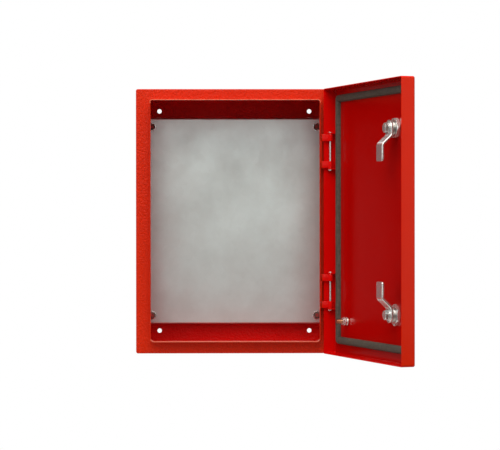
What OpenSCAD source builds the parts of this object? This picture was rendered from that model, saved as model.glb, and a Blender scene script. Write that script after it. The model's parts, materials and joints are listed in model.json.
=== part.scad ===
// Wall-mounted sheet-steel control-panel enclosure with a side-hinged door,
// a removable mounting plate, two quarter-turn cam locks and an earth stud.
// Origin: centre of the wall-hole pattern on the back face. +Z up, the door faces -Y.

/* [Enclosure] */
// Outside width
body_w = 300; // [280:5:360]
// Outside height
body_h = 400; // [390:5:480]
// Depth from the wall to the front flange
body_d = 200; // [150:5:250]
// Steel sheet of the enclosure
sheet = 1.2; // [1:0.1:1.5]
// Corner radius of the enclosure and of the door
corner_r = 3; // [2:0.5:5]
// Width of the front flange at the sides, up to the opening
flange_side = 22.5; // [21:0.5:24]
// Width of the front flange at the top
flange_top = 17.5; // [16:0.5:20]
// Width of the front flange at the bottom
flange_bottom = 19; // [17:0.5:21]
// Corner radius of the opening at the top
opening_top_r = 2; // [1.5:0.5:6]
// Corner radius of the opening at the bottom
opening_bottom_r = 5; // [2:0.5:6]

/* [Wall holes] */
// Diameter of the four wall holes
hole_d = 7.2; // [6:0.1:9]
// Distance of a wall hole from the side
hole_side = 29.5; // [26:0.5:34]
// Distance of a wall hole from the top or the bottom
hole_end = 23.5; // [20:0.5:26]

/* [Mounting plate] */
// Width of the mounting plate
plate_w = 284; // [274:1:290]
// Height of the mounting plate
plate_h = 330; // [316:1:336]
// Thickness of the mounting plate
plate_t = 2; // [1.5:0.5:3]
// Distance from the wall to the plate's front face
plate_y = 25; // [20:1:40]
// Width of the edges folded back at the top and the bottom
plate_fold = 10; // [8:0.5:12]
// Distance between the fixings across the plate
fixing_w = 263; // [255:1:265]
// Distance between the fixings up the plate
fixing_h = 301; // [285:1:305]

/* [Door] */
// Opening angle of the door as drawn
door_angle = 108; // [0:1:114]
// Steel sheet of the door
door_sheet = 1.5; // [1.2:0.1:1.8]
// Depth of the door pan
door_depth = 20.7; // [20:0.1:22]
// Gap between the door's rim and the front flange when closed
rim_gap = 2.6; // [2.5:0.1:3]
// Width of the foam seal
seal_w = 11; // [9:0.5:11]
// Thickness of the foam seal
seal_t = 6; // [5:0.5:6]

/* [Hinges] */
// Distance of a hinge from mid height
hinge_z = 105.5; // [90:0.5:110]
// Height of a hinge over its two knuckles
hinge_h = 51; // [46:0.5:56]
// Height of a knuckle
knuckle_h = 10.4; // [8:0.1:12]
// Outside radius of a knuckle
knuckle_r = 4.3; // [3.8:0.1:4.3]
// Diameter of a hinge pin
pin_d = 3; // [3:0.1:4]

/* [Locks] */
// Distance of a lock from the door's free edge
lock_inset = 62; // [58:0.5:64]
// Distance of a lock from mid height
lock_z = 131.2; // [110:0.1:135]
// Turn of the cams as drawn, 0 unlocked and 90 locked
cam_turn = 0; // [0:5:90]
// Reach of a cam from its axis to its tip
cam_reach = 47; // [46:0.5:50]
// Width of a cam
cam_w = 22; // [18:0.5:22]
// Thickness of a cam
cam_t = 3.5; // [2.5:0.1:3.5]
// Width across flats of a lock nut
lock_nut_af = 27; // [24:0.5:28]

/* [Earth stud] */
// Distance of the earth stud from the hinge axis
earth_x = 45.5; // [40:0.5:80]
// Distance of the earth stud below mid height
earth_drop = 149; // [120:0.5:155]
// Length of the earth stud
earth_l = 17.6; // [16:0.1:26]

/* [Cable entry] */
// Width of the cable-entry cut-out in the bottom
gland_w = 180; // [140:5:200]
// Depth of the cable-entry cut-out
gland_d = 90; // [60:5:90]
// Overlap of the cable-entry plate around the cut-out
gland_lap = 15; // [14:1:18]

/* [Hidden] */
$fn = 64;
eps = 0.01;

// Colours
paint = [0.80, 0.09, 0.05];
galvanised = [0.68, 0.67, 0.65];
zinc = [0.76, 0.77, 0.78];
copper = [0.72, 0.42, 0.28];
foam = [0.30, 0.28, 0.26];
black_rubber = [0.10, 0.10, 0.10];

// Enclosure outlines, as [x, z] of the low and the high corner
body_lo = [-body_w / 2, -body_h / 2];
body_hi = [body_w / 2, body_h / 2];
opening_lo = [-body_w / 2 + flange_side, -body_h / 2 + flange_bottom];
opening_hi = [body_w / 2 - flange_side, body_h / 2 - flange_top];
rear_sheet = 1.5;
hole_x = body_w / 2 - hole_side;
hole_z = body_h / 2 - hole_end;

// Depths in the door are distances in front of the front flange, with the door closed
panel_out = rim_gap + door_depth;
panel_in = panel_out - door_sheet;
seal_face = panel_in - seal_t;
seal_gap = 0.3;
lip_d = seal_face - seal_gap;

// Hinge axis, from the enclosure's side and in front of the front flange
pin_inset = 6.6;
pin_front = 11.1;
pin_x = body_w / 2 - pin_inset;
pin_r = pin_d / 2;
bearing_gap = 0.05;
ear_t = 2;
ear_gap = 0.3;
arm_lo = 10.4;
arm_t = 2.4;
arm_hi = arm_lo + arm_t;
bracket_t = 2.2;
bracket_foot = 2;
leaf_t = 1.8;
leaf_half_w = 5;
pin_head_r = 3;
pin_head_t = 1.2;
clip_r = 3.5;
clip_t = 0.8;
pin_tail = 0.8;
ear_out = hinge_h / 2 + ear_gap + ear_t;

// Seal outline: it lies over the lip, a little towards the hinge on that side and a little high
seal_shift_side = 4.8;
seal_shift_up = 1.9;
seal_lo = [opening_lo[0] - sheet / 2 - seal_w / 2, opening_lo[1] + seal_shift_up - seal_w / 2];
seal_hi = [opening_hi[0] + seal_shift_side + seal_w / 2,
    opening_hi[1] + seal_shift_up + seal_w / 2];
seal_r = 8;
seal_inside_r = 1;

// Lock stack, from the front of the door to the cam
barrel_r = 10;
rosette_r = 14;
rosette_t = 3.2;
lock_seal_t = 1;
lock_nut_t = 5;
spindle_r = 7;
spindle_head_r = 8.6;
spindle_head_t = 1;
spindle_seat = 2;
key_r = 4.6;
key_t = 0.8;
rosette_back = panel_out + lock_seal_t;
rosette_front = rosette_back + rosette_t;
cam_root = 9;
cam_gap = 0.4;
barrel_end = cam_root + cam_t + cam_gap;
cam_tip = -(sheet + 0.3);
cam_bend_start = 10.3;
cam_bend_end = 23.3;
cam_tip_r = 3;
shank_w = 9.8;
shank_gap = 0.1;
cam_washer_t = 1.6;
cam_washer_r = 8.5;
bolt_af = 13;
bolt_head_t = 5.3;
bolt_r = 4;
bolt_l = 11;
lock_x = -body_w / 2 + lock_inset;

// M6 studs, nuts and washers
m6_r = 3;
m6_af = 10;
m6_washer_r = 6.3;
m6_washer_gap = 0.2;
stud_point = 1;

// Earth stud stack: two washers and two thin nuts, against the base
earth_nut_t = 3;
earth_washer_t = 1;
earth_base_r = 5.2;
earth_base_t = 1.2;
earth_stack = panel_in - earth_base_t;

// Mounting plate fixings
m6_nut_t = 5;
plate_washer_t = 1.4;
plate_hole_gap = 0.4;
shoulder_r = 5;
stud_out = 12;
bend_r = 3;

// Cable entry
gland_forward = 5;
gland_y = -body_d / 2 - gland_forward;
gland_t = 1.5;
gland_corner_r = 4;
gland_gasket_t = 2;
gland_screw_r = 2.5;
gland_head_r = 4.5;
gland_head_t = 3;
gland_slot_w = 1.2;
gland_slot_deep = 1.2;
gland_floor = -body_h / 2 + sheet;

// ---------- outlines and placing ----------

// Rectangle with round corners, from lo to hi, with its own radius at the bottom and the top
module round_rect(lo, hi, r_low, r_high) {
    w = hi[0] - lo[0];
    h = hi[1] - lo[1];
    translate([lo[0], lo[1] + r_low]) square([w, h - r_low - r_high]);
    translate([lo[0] + r_low, lo[1]]) square([w - 2 * r_low, h / 2]);
    translate([lo[0] + r_high, lo[1] + h / 2]) square([w - 2 * r_high, h / 2]);
    for (x = [lo[0] + r_low, hi[0] - r_low]) translate([x, lo[1] + r_low]) circle(r_low);
    for (x = [lo[0] + r_high, hi[0] - r_high]) translate([x, hi[1] - r_high]) circle(r_high);
}

// Frame between an outline and the same outline moved in or out by steps a and b
module frame_2d(lo, hi, r_low, r_high, a, b) {
    difference() {
        round_rect(lo - [b, b], hi + [b, b], r_low + b, r_high + b);
        round_rect(lo - [a, a], hi + [a, a], r_low + a, r_high + a);
    }
}

// Sheet in the XZ plane between two depths, given as Y values
module between(y_front, y_back) {
    translate([0, y_back, 0]) rotate([90, 0, 0]) linear_extrude(y_back - y_front) children();
}

// The same in the door: depths in front of the front flange
module door_between(near, far) {
    between(-body_d - far, -body_d - near) children();
}

// Round bar along Y in the door, between two depths
module door_rod(r, near, far) {
    translate([0, -body_d - near, 0]) rotate([90, 0, 0]) cylinder(r = r, h = far - near);
}

// Puts a child that is drawn closed at the door's opening angle
module on_door() {
    translate([pin_x, -body_d - pin_front, 0]) rotate([0, 0, door_angle])
        translate([-pin_x, body_d + pin_front, 0]) children();
}

// Hexagonal bar along Z with chamfered ends
module hex_bar(af, h, chamfer) {
    corner_radius = af / 2 / cos(30);
    intersection() {
        cylinder(r = corner_radius, h = h, $fn = 6);
        union() {
            cylinder(r1 = af / 2, r2 = af / 2 + chamfer, h = chamfer * 0.6);
            translate([0, 0, chamfer * 0.6])
                cylinder(r = af / 2 + chamfer, h = h - chamfer * 1.2);
            translate([0, 0, h - chamfer * 0.6])
                cylinder(r1 = af / 2 + chamfer, r2 = af / 2, h = chamfer * 0.6);
        }
    }
}

// ---------- enclosure ----------

module body_wrap() {
    color(paint) difference() {
        union() {
            between(-body_d, 0) frame_2d(body_lo, body_hi, corner_r, corner_r, -sheet, 0);
            between(-body_d, -body_d + sheet) difference() {
                round_rect(body_lo, body_hi, corner_r, corner_r);
                round_rect(opening_lo, opening_hi, opening_bottom_r, opening_top_r);
            }
            between(-body_d - lip_d, -body_d + sheet)
                frame_2d(opening_lo, opening_hi, opening_bottom_r, opening_top_r, 0, sheet);
        }
        translate([-gland_w / 2, gland_y - gland_d / 2, -body_h / 2 - 1])
            cube([gland_w, gland_d, sheet + 2]);
        gland_holes(gland_screw_r);
    }
}

module rear_panel() {
    color(paint) between(-rear_sheet, 0) difference() {
        round_rect(body_lo + [sheet, sheet], body_hi - [sheet, sheet],
            corner_r - sheet, corner_r - sheet);
        for (x = [-hole_x, hole_x], z = [-hole_z, hole_z]) translate([x, z]) circle(d = hole_d);
    }
}

// ---------- cable entry ----------

// Bores for the six screws of the cable-entry plate
module gland_holes(r) {
    for (x = [-1, 0, 1], y = [-1, 1])
        translate([x * (gland_w + gland_lap) / 2, gland_y + y * (gland_d + gland_lap) / 2, 0])
            translate([0, 0, -body_h / 2 - 1]) cylinder(r = r, h = 12);
}

module gland_outline(h) {
    linear_extrude(h)
        round_rect([-gland_w / 2 - gland_lap, gland_y - gland_d / 2 - gland_lap],
            [gland_w / 2 + gland_lap, gland_y + gland_d / 2 + gland_lap],
            gland_corner_r, gland_corner_r);
}

module gland_gasket() {
    color(black_rubber) difference() {
        translate([0, 0, gland_floor]) gland_outline(gland_gasket_t);
        translate([-gland_w / 2, gland_y - gland_d / 2, gland_floor - 1])
            cube([gland_w, gland_d, gland_gasket_t + 2]);
        gland_holes(gland_screw_r);
    }
}

module gland_plate() {
    color(paint) difference() {
        translate([0, 0, gland_floor + gland_gasket_t]) gland_outline(gland_t);
        gland_holes(gland_screw_r);
    }
}

module gland_screws() {
    top = gland_floor + gland_gasket_t + gland_t;
    color(zinc) for (x = [-1, 0, 1], y = [-1, 1])
        translate([x * (gland_w + gland_lap) / 2, gland_y + y * (gland_d + gland_lap) / 2, 0]) {
            translate([0, 0, -body_h / 2]) cylinder(r = gland_screw_r, h = top + body_h / 2 + eps);
            translate([0, 0, top]) difference() {
                cylinder(r1 = gland_head_r, r2 = gland_head_r - 1, h = gland_head_t);
                translate([-gland_head_r, -gland_slot_w / 2, gland_head_t - gland_slot_deep])
                    cube([2 * gland_head_r, gland_slot_w, 2 * gland_slot_deep]);
            }
        }
}

// ---------- mounting plate ----------

module at_fixings() {
    for (x = [-fixing_w / 2, fixing_w / 2], z = [-fixing_h / 2, fixing_h / 2])
        translate([x, 0, z]) children();
}

// Half of the plate's side profile: [depth behind the front face, height]
module folded_edge_2d() {
    translate([0, -eps]) square([plate_t, plate_h / 2 - bend_r + eps]);
    translate([bend_r, plate_h / 2 - bend_r]) intersection() {
        difference() {
            circle(bend_r);
            circle(bend_r - plate_t);
        }
        translate([-bend_r, 0]) square([bend_r, bend_r]);
    }
    translate([bend_r, plate_h / 2 - plate_t]) square([plate_fold - bend_r, plate_t]);
}

module mounting_plate() {
    color(galvanised) difference() {
        translate([-plate_w / 2, -plate_y, 0]) rotate([90, 0, 90]) linear_extrude(plate_w) {
            folded_edge_2d();
            mirror([0, 1]) folded_edge_2d();
        }
        at_fixings() translate([0, 1, 0]) rotate([90, 0, 0])
            cylinder(r = m6_r + plate_hole_gap, h = plate_y + 2);
    }
}

module plate_studs() {
    color(paint) at_fixings() rotate([90, 0, 0]) {
        translate([0, 0, rear_sheet])
            cylinder(r = shoulder_r, h = plate_y - plate_t - rear_sheet);
        translate([0, 0, rear_sheet])
            cylinder(r = m6_r, h = plate_y - rear_sheet + stud_out - stud_point);
        translate([0, 0, plate_y + stud_out - stud_point])
            cylinder(r1 = m6_r, r2 = m6_r - stud_point, h = stud_point);
    }
}

module plate_washers() {
    color(zinc) at_fixings() rotate([90, 0, 0]) translate([0, 0, plate_y]) difference() {
        cylinder(r = m6_washer_r, h = plate_washer_t);
        translate([0, 0, -1]) cylinder(r = m6_r + m6_washer_gap, h = plate_washer_t + 2);
    }
}

module plate_nuts() {
    color(zinc) at_fixings() rotate([90, 0, 0]) translate([0, 0, plate_y + plate_washer_t])
        difference() {
            rotate([0, 0, 30]) hex_bar(m6_af, m6_nut_t, 0.5);
            translate([0, 0, -1]) cylinder(r = m6_r, h = m6_nut_t + 2);
        }
}

// ---------- hinges, drawn about their own middle ----------

module hinge_bracket() {
    lip_x = opening_hi[0] + sheet;
    color(paint) difference() {
        union() {
            translate([lip_x, -body_d - arm_hi, -hinge_h / 2])
                cube([bracket_t, arm_hi - bracket_foot, hinge_h]);
            for (z = [-hinge_h / 2, hinge_h / 2 - knuckle_h]) {
                translate([lip_x, -body_d - arm_hi, z])
                    cube([pin_x - lip_x, arm_t, knuckle_h]);
                translate([pin_x, -body_d - pin_front, z])
                    cylinder(r = knuckle_r, h = knuckle_h);
            }
        }
        translate([pin_x, -body_d - pin_front, -hinge_h]) cylinder(r = pin_r, h = 2 * hinge_h);
    }
}

module hinge_pin() {
    color(zinc) translate([pin_x, -body_d - pin_front, 0]) {
        translate([0, 0, -ear_out - ear_gap - clip_t - pin_tail])
            cylinder(r = pin_r, h = 2 * ear_out + 2 * ear_gap + clip_t + pin_tail + eps);
        translate([0, 0, ear_out + ear_gap]) cylinder(r1 = pin_head_r, r2 = pin_r, h = pin_head_t);
    }
}

module hinge_clip() {
    color(zinc) translate([pin_x, -body_d - pin_front, -ear_out - ear_gap - clip_t])
        difference() {
            cylinder(r = clip_r, h = clip_t);
            translate([0, 0, -1]) cylinder(r = pin_r, h = clip_t + 2);
            translate([-1, -clip_r - 1, -1]) cube([2, clip_r, clip_t + 2]);
        }
}

module hinge_leaf() {
    color(paint) difference() {
        union() {
            translate([pin_x - leaf_half_w, -body_d - panel_in, -ear_out])
                cube([2 * leaf_half_w, leaf_t, 2 * ear_out]);
            for (z = [-ear_out, ear_out - ear_t]) {
                translate([pin_x - knuckle_r, -body_d - panel_in, z])
                    cube([2 * knuckle_r, panel_in - pin_front, ear_t]);
                translate([pin_x, -body_d - pin_front, z]) cylinder(r = knuckle_r, h = ear_t);
            }
        }
        translate([pin_x, -body_d - pin_front, -hinge_h])
            cylinder(r = pin_r + bearing_gap, h = 2 * hinge_h);
    }
}

module upper_hinge_bracket() { translate([0, 0, hinge_z]) hinge_bracket(); }
module lower_hinge_bracket() { translate([0, 0, -hinge_z]) hinge_bracket(); }
module upper_hinge_pin() { translate([0, 0, hinge_z]) hinge_pin(); }
module lower_hinge_pin() { translate([0, 0, -hinge_z]) hinge_pin(); }
module upper_hinge_clip() { translate([0, 0, hinge_z]) hinge_clip(); }
module lower_hinge_clip() { translate([0, 0, -hinge_z]) hinge_clip(); }
module upper_hinge_leaf() { on_door() translate([0, 0, hinge_z]) hinge_leaf(); }
module lower_hinge_leaf() { on_door() translate([0, 0, -hinge_z]) hinge_leaf(); }

// ---------- door ----------

module door_shell() {
    color(paint) on_door() difference() {
        union() {
            door_between(rim_gap, panel_out)
                frame_2d(body_lo, body_hi, corner_r, corner_r, -door_sheet, 0);
            door_between(panel_in, panel_out) round_rect(body_lo, body_hi, corner_r, corner_r);
        }
        for (z = [-lock_z, lock_z])
            translate([lock_x, 0, z]) door_rod(barrel_r + 0.2, panel_in - 1, panel_out + 1);
    }
}

module door_seal() {
    color(foam) on_door() door_between(seal_face, panel_in) difference() {
        round_rect(seal_lo, seal_hi, seal_r, seal_r);
        round_rect(seal_lo + [seal_w, seal_w], seal_hi - [seal_w, seal_w],
            seal_inside_r, seal_inside_r);
    }
}

// ---------- locks, drawn about their own axis ----------

module lock_housing() {
    color(zinc) difference() {
        union() {
            door_rod(barrel_r, barrel_end, rosette_back + eps);
            door_rod(rosette_r, rosette_back, rosette_front);
        }
        door_rod(spindle_r + bearing_gap, barrel_end - 1, rosette_front + 1);
        door_rod(spindle_head_r + 0.4, rosette_front - spindle_seat, rosette_front + 1);
    }
}

module lock_seal() {
    color(black_rubber) difference() {
        door_rod(rosette_r, panel_out, rosette_back);
        door_rod(barrel_r, panel_out - 1, rosette_back + 1);
    }
}

module lock_nut() {
    color(zinc) difference() {
        translate([0, -body_d - panel_in + lock_nut_t, 0]) rotate([90, 0, 0])
            hex_bar(lock_nut_af, lock_nut_t, 1);
        door_rod(barrel_r, panel_in - lock_nut_t - 1, panel_in + 1);
    }
}

module spindle() {
    seat = rosette_front - spindle_seat + 0.1;
    color(zinc) difference() {
        union() {
            door_rod(spindle_r, cam_root + cam_t, seat + eps);
            door_rod(spindle_head_r, seat, seat + spindle_head_t);
            translate([0, -body_d - seat - spindle_head_t + eps, 0]) rotate([90, 0, 0])
                cylinder(r = key_r, h = key_t, $fn = 3);
            door_between(cam_root, cam_root + cam_t + eps) square(shank_w, center = true);
        }
        door_rod(bolt_r, cam_root - 1, cam_root + bolt_l);
    }
}

// Side profile of a cam: [distance along the arm, depth]
function cam_profile(start, finish) = let (
    fall = cam_root - cam_tip + cam_t,
    run = finish - start,
    step = cam_t / 2 * tan(atan2(fall, run) / 2)
) [
    [-cam_w / 2, cam_root], [-cam_w / 2, cam_root + cam_t],
    [start + step, cam_root + cam_t], [finish + step, cam_tip],
    [cam_reach, cam_tip], [cam_reach, cam_tip - cam_t],
    [finish - step, cam_tip - cam_t], [start - step, cam_root]
];

// Cam with its arm pointing down
module cam_shape() {
    color(zinc) difference() {
        intersection() {
            translate([-cam_w / 2, -body_d, 0]) rotate([0, 90, 0])
                linear_extrude(cam_w) mirror([0, 1]) polygon(cam_profile(cam_bend_start, cam_bend_end));
            between(-body_d - 40, -body_d + 40) {
                circle(cam_w / 2);
                round_rect([-cam_w / 2, -cam_reach], [cam_w / 2, cam_w / 4], cam_tip_r, eps);
            }
        }
        door_between(cam_root - 1, cam_root + cam_t + 1)
            square(shank_w + shank_gap, center = true);
    }
}

module cam_washer() {
    color(zinc) difference() {
        door_rod(cam_washer_r, cam_root - cam_washer_t, cam_root);
        door_rod(bolt_r, cam_root - cam_washer_t - 1, cam_root + 1);
    }
}

module cam_bolt() {
    head = cam_root - cam_washer_t;
    color(zinc) {
        translate([0, -body_d - head + bolt_head_t, 0]) rotate([90, 0, 0])
            hex_bar(bolt_af, bolt_head_t, 0.8);
        door_rod(bolt_r, head - eps, cam_root + bolt_l);
    }
}

// The arm of the upper cam points down when unlocked, and that of the lower cam points up
module at_upper_lock() { on_door() translate([lock_x, 0, lock_z]) children(); }
module at_lower_lock() { on_door() translate([lock_x, 0, -lock_z]) children(); }
module upper_turn() { at_upper_lock() rotate([0, cam_turn, 0]) children(); }
module lower_turn() { at_lower_lock() rotate([0, 180 - cam_turn, 0]) children(); }

module upper_lock_housing() { at_upper_lock() lock_housing(); }
module lower_lock_housing() { at_lower_lock() lock_housing(); }
module upper_lock_seal() { at_upper_lock() lock_seal(); }
module lower_lock_seal() { at_lower_lock() lock_seal(); }
module upper_lock_nut() { at_upper_lock() lock_nut(); }
module lower_lock_nut() { at_lower_lock() rotate([0, 30, 0]) lock_nut(); }
module upper_spindle() { upper_turn() spindle(); }
module lower_spindle() { lower_turn() spindle(); }
module upper_cam() { upper_turn() cam_shape(); }
module lower_cam() { lower_turn() cam_shape(); }
module upper_cam_washer() { upper_turn() cam_washer(); }
module lower_cam_washer() { lower_turn() cam_washer(); }
module upper_cam_bolt() { upper_turn() rotate([0, 15, 0]) cam_bolt(); }
module lower_cam_bolt() { lower_turn() rotate([0, 15, 0]) cam_bolt(); }

// ---------- earth stud ----------

module at_earth() { on_door() translate([pin_x - earth_x, 0, -earth_drop]) children(); }

module earth_stud() {
    color(copper) at_earth() {
        door_rod(m6_r, panel_in - earth_l + stud_point, panel_in);
        translate([0, -body_d - panel_in + earth_l - stud_point, 0]) rotate([-90, 0, 0])
            cylinder(r1 = m6_r, r2 = m6_r - stud_point, h = stud_point);
        door_rod(earth_base_r, panel_in - earth_base_t, panel_in);
    }
}

module earth_washers() {
    color(zinc) at_earth() for (depth = [0, earth_washer_t + earth_nut_t]) difference() {
        door_rod(m6_washer_r, earth_stack - depth - earth_washer_t, earth_stack - depth);
        door_rod(m6_r + m6_washer_gap, earth_stack - depth - earth_washer_t - 1, earth_stack + 1);
    }
}

module earth_nuts() {
    color(zinc) at_earth() for (depth = [0, earth_washer_t + earth_nut_t]) difference() {
        translate([0, -body_d - earth_stack + depth + earth_washer_t + earth_nut_t, 0])
            rotate([90, 0, 0]) hex_bar(m6_af, earth_nut_t, 0.5);
        door_rod(m6_r, 0, earth_stack);
    }
}

body_wrap();
rear_panel();
gland_plate();
gland_gasket();
gland_screws();
mounting_plate();
plate_studs();
plate_washers();
plate_nuts();
upper_hinge_bracket();
lower_hinge_bracket();
upper_hinge_pin();
lower_hinge_pin();
upper_hinge_clip();
lower_hinge_clip();
door_shell();
door_seal();
upper_hinge_leaf();
lower_hinge_leaf();
upper_lock_housing();
upper_lock_seal();
upper_lock_nut();
lower_lock_housing();
lower_lock_seal();
lower_lock_nut();
earth_stud();
earth_washers();
earth_nuts();
upper_spindle();
upper_cam();
upper_cam_washer();
upper_cam_bolt();
lower_spindle();
lower_cam();
lower_cam_washer();
lower_cam_bolt();
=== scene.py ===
import json
import math

import bpy
import numpy as np
from mathutils import Matrix, Quaternion, Vector


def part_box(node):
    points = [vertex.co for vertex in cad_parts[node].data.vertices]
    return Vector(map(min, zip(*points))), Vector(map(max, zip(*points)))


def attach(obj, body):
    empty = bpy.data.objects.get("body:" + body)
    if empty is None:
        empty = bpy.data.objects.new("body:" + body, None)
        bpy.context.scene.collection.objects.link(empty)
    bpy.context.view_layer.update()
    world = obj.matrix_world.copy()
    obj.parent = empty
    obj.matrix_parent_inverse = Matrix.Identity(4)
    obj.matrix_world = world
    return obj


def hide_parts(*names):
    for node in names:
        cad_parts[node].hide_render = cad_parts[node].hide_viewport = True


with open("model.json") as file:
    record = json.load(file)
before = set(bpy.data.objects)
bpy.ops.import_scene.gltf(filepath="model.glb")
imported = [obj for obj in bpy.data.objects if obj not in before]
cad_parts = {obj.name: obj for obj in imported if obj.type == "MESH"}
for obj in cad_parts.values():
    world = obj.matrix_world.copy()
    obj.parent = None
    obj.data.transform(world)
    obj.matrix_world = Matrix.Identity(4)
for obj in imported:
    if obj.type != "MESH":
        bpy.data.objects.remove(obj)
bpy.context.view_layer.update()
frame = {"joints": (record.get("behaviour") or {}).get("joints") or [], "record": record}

# Shapes are worked out in millimetres, in the frame of the CAD model: +Z up, the door faces -Y.
# "depth" is the distance in front of the front flange with the door closed.
mm = 0.001


# Lowest and highest corner of a CAD node, in millimetres.
def nodeBox(name):
    low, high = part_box(name)
    return np.array(low) / mm, np.array(high) / mm


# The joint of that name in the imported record.
def jointNamed(name):
    return next(joint for joint in frame["joints"] if joint["name"] == name)


doorJoint = jointNamed("door_swing")
hingePin = np.array(doorJoint["pos_m"]) / mm
restAngle = -math.radians(doorJoint["range_deg"][0])   # closed is the joint's lower limit

bodyLow, bodyHigh = nodeBox("body_wrap")
lipDepth = 15.5                                       # the lip stands this far in front of the flange
flangeY = bodyLow[1] + lipDepth
panelOut = 23.3                                       # outer face of the door, as a depth
panelIn = 21.8                                        # its inner face


# Turns points about the hinge pin by an angle, seen from above.
def turnDoor(points, angle):
    c, s = math.cos(angle), math.sin(angle)
    x = points[..., 0] - hingePin[0]
    y = points[..., 1] - hingePin[1]
    turned = np.empty_like(points)
    turned[..., 0] = hingePin[0] + c * x - s * y
    turned[..., 1] = hingePin[1] + s * x + c * y
    turned[..., 2] = points[..., 2]
    return turned


# From the closed door to the door as it stands at rest.
def openDoor(points):
    return turnDoor(np.asarray(points, float), restAngle)


# From a place on the open door to the same place on the closed door.
def closedPlace(point):
    return turnDoor(np.asarray(point, float), -restAngle)


# Points given as (across, up, depth in front of the flange), put at x, z on the enclosure.
def onFront(points, x=0.0, z=0.0):
    points = np.asarray(points, float)
    return np.stack([x + points[..., 0], flangeY - points[..., 2], z + points[..., 1]], -1)


# The same on the door, at rest.
def onDoor(points, x=0.0, z=0.0):
    return openDoor(onFront(points, x, z))


# Rounds the corners of a path. Each corner becomes an arc tangent to both sides, and a guard point
# on each side of the arc keeps the smooth shading off the flat.
def filletPath(corners, radii, steps=5, closed=True, guard=0.12):
    corners = np.asarray(corners, float)
    count = len(corners)
    path = []
    for i, radius in enumerate(radii):
        here = corners[i]
        if radius <= 0 or (not closed and i in (0, count - 1)):
            path.append(here[None])
            continue
        back = corners[i - 1] - here
        ahead = corners[(i + 1) % count] - here
        back, ahead = back / np.linalg.norm(back), ahead / np.linalg.norm(ahead)
        half = math.acos(np.clip(back @ ahead, -1, 1)) / 2
        reach = radius / math.tan(half)
        middle = here + (back + ahead) / np.linalg.norm(back + ahead) * radius / math.sin(half)
        start, end = here + back * reach - middle, here + ahead * reach - middle
        turn = math.atan2(start[0] * end[1] - start[1] * end[0], start @ end)
        angle = math.atan2(start[1], start[0]) + turn * np.linspace(0, 1, steps + 1)
        arc = middle + radius * np.stack([np.cos(angle), np.sin(angle)], -1)
        path += [(arc[0] + back * guard)[None], arc, (arc[-1] + ahead * guard)[None]]
    return np.concatenate(path)


# Closed ring in XZ: four quarter circles joined by straight sides. Inset moves it inwards, and
# sideSteps adds points along each side. Every ring has the same number of points.
def roundRect(low, high, lowRadius, highRadius, inset=0.0, cornerSteps=6, guard=0.3, sideSteps=0):
    rings = []
    signs = [(-1, -1), (1, -1), (1, 1), (-1, 1)]
    for k, (sx, sz) in enumerate(signs):
        base = lowRadius if sz < 0 else highRadius
        radius = max(base - inset, 0.15)
        corner = np.array([high[0] if sx > 0 else low[0], high[1] if sz > 0 else low[1]])
        middle = corner - np.array([sx, sz]) * (inset + radius)
        angle = math.radians(180 + 90 * k) + np.linspace(0, math.pi / 2, cornerSteps + 1)
        arc = middle + radius * np.stack([np.cos(angle), np.sin(angle)], -1)
        along = np.array([[0, -1], [1, 0], [0, 1], [-1, 0]])[k]
        after = np.array([[1, 0], [0, 1], [-1, 0], [0, -1]])[k]
        rings.append(np.concatenate([arc[:1] - along * guard, arc, arc[-1:] + after * guard]))
    ring = np.concatenate(rings)
    if sideSteps:
        share = np.linspace(0, 1, sideSteps + 2)[1:-1, None]
        pieces = []
        for k in range(4):
            start, end = rings[k][-1], rings[(k + 1) % 4][0]
            pieces += [rings[k], start + (end - start) * share]
        ring = np.concatenate(pieces)
    return ring


# Moves a closed outline inwards: each point goes along the bisector of its two sides.
def insetOutline(outline, distance):
    before = outline - np.roll(outline, 1, 0)
    after = np.roll(outline, -1, 0) - outline
    before = before / np.linalg.norm(before, axis=1, keepdims=True)
    after = after / np.linalg.norm(after, axis=1, keepdims=True)
    left = np.stack([-(before + after)[:, 1], (before + after)[:, 0]], -1)
    left /= np.maximum(1 + (before * after).sum(1, keepdims=True), 0.2)
    x, y = outline.T
    area = (x * np.roll(y, -1) - np.roll(x, -1) * y).sum()
    return outline + left * distance * math.copysign(1, area)


# Points spaced evenly round a circle; start is in degrees.
def circleOutline(radius, count=48, start=0.0):
    angle = math.radians(start) + np.arange(count) * 2 * math.pi / count
    return radius * np.stack([np.cos(angle), np.sin(angle)], -1)


# Quads of a grid whose columns close on themselves; closeRows joins the last row to the first.
def gridFaces(rows, cols, closeRows):
    r = np.arange(rows if closeRows else rows - 1)
    row, col = np.meshgrid(r, np.arange(cols), indexing="ij")
    nextRow, nextCol = (row + 1) % rows, (col + 1) % cols
    quads = [row * cols + col, row * cols + nextCol, nextRow * cols + nextCol, nextRow * cols + col]
    return np.stack(quads, -1).reshape(-1, 4)


# Turns the faces round where the volume they enclose comes out negative.
def outwards(points, quads, caps):
    a, b, c, d = (points[quads[:, i]] for i in range(4))
    volume = (np.cross(a, b) * c).sum() + (np.cross(a, c) * d).sum()
    for cap in caps:
        fan = points[cap]
        volume += (np.cross(fan[0], fan[1:-1]) * fan[2:]).sum()
    if volume < 0:
        quads = quads[:, ::-1]
        caps = [cap[::-1] for cap in caps]
    return points, quads.tolist() + [list(map(int, cap)) for cap in caps]


# Closed surface through rings of points: each ring joins the next, and the ends are capped, or the
# last ring joins the first in a tube.
def ringSolid(rings, tube=False):
    rings = np.asarray(rings, float)
    rows, cols = rings.shape[:2]
    points = rings.reshape(-1, 3)
    quads = gridFaces(rows, cols, tube)
    caps = [] if tube else [np.arange(cols)[::-1], (rows - 1) * cols + np.arange(cols)]
    return outwards(points, quads, caps)


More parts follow.
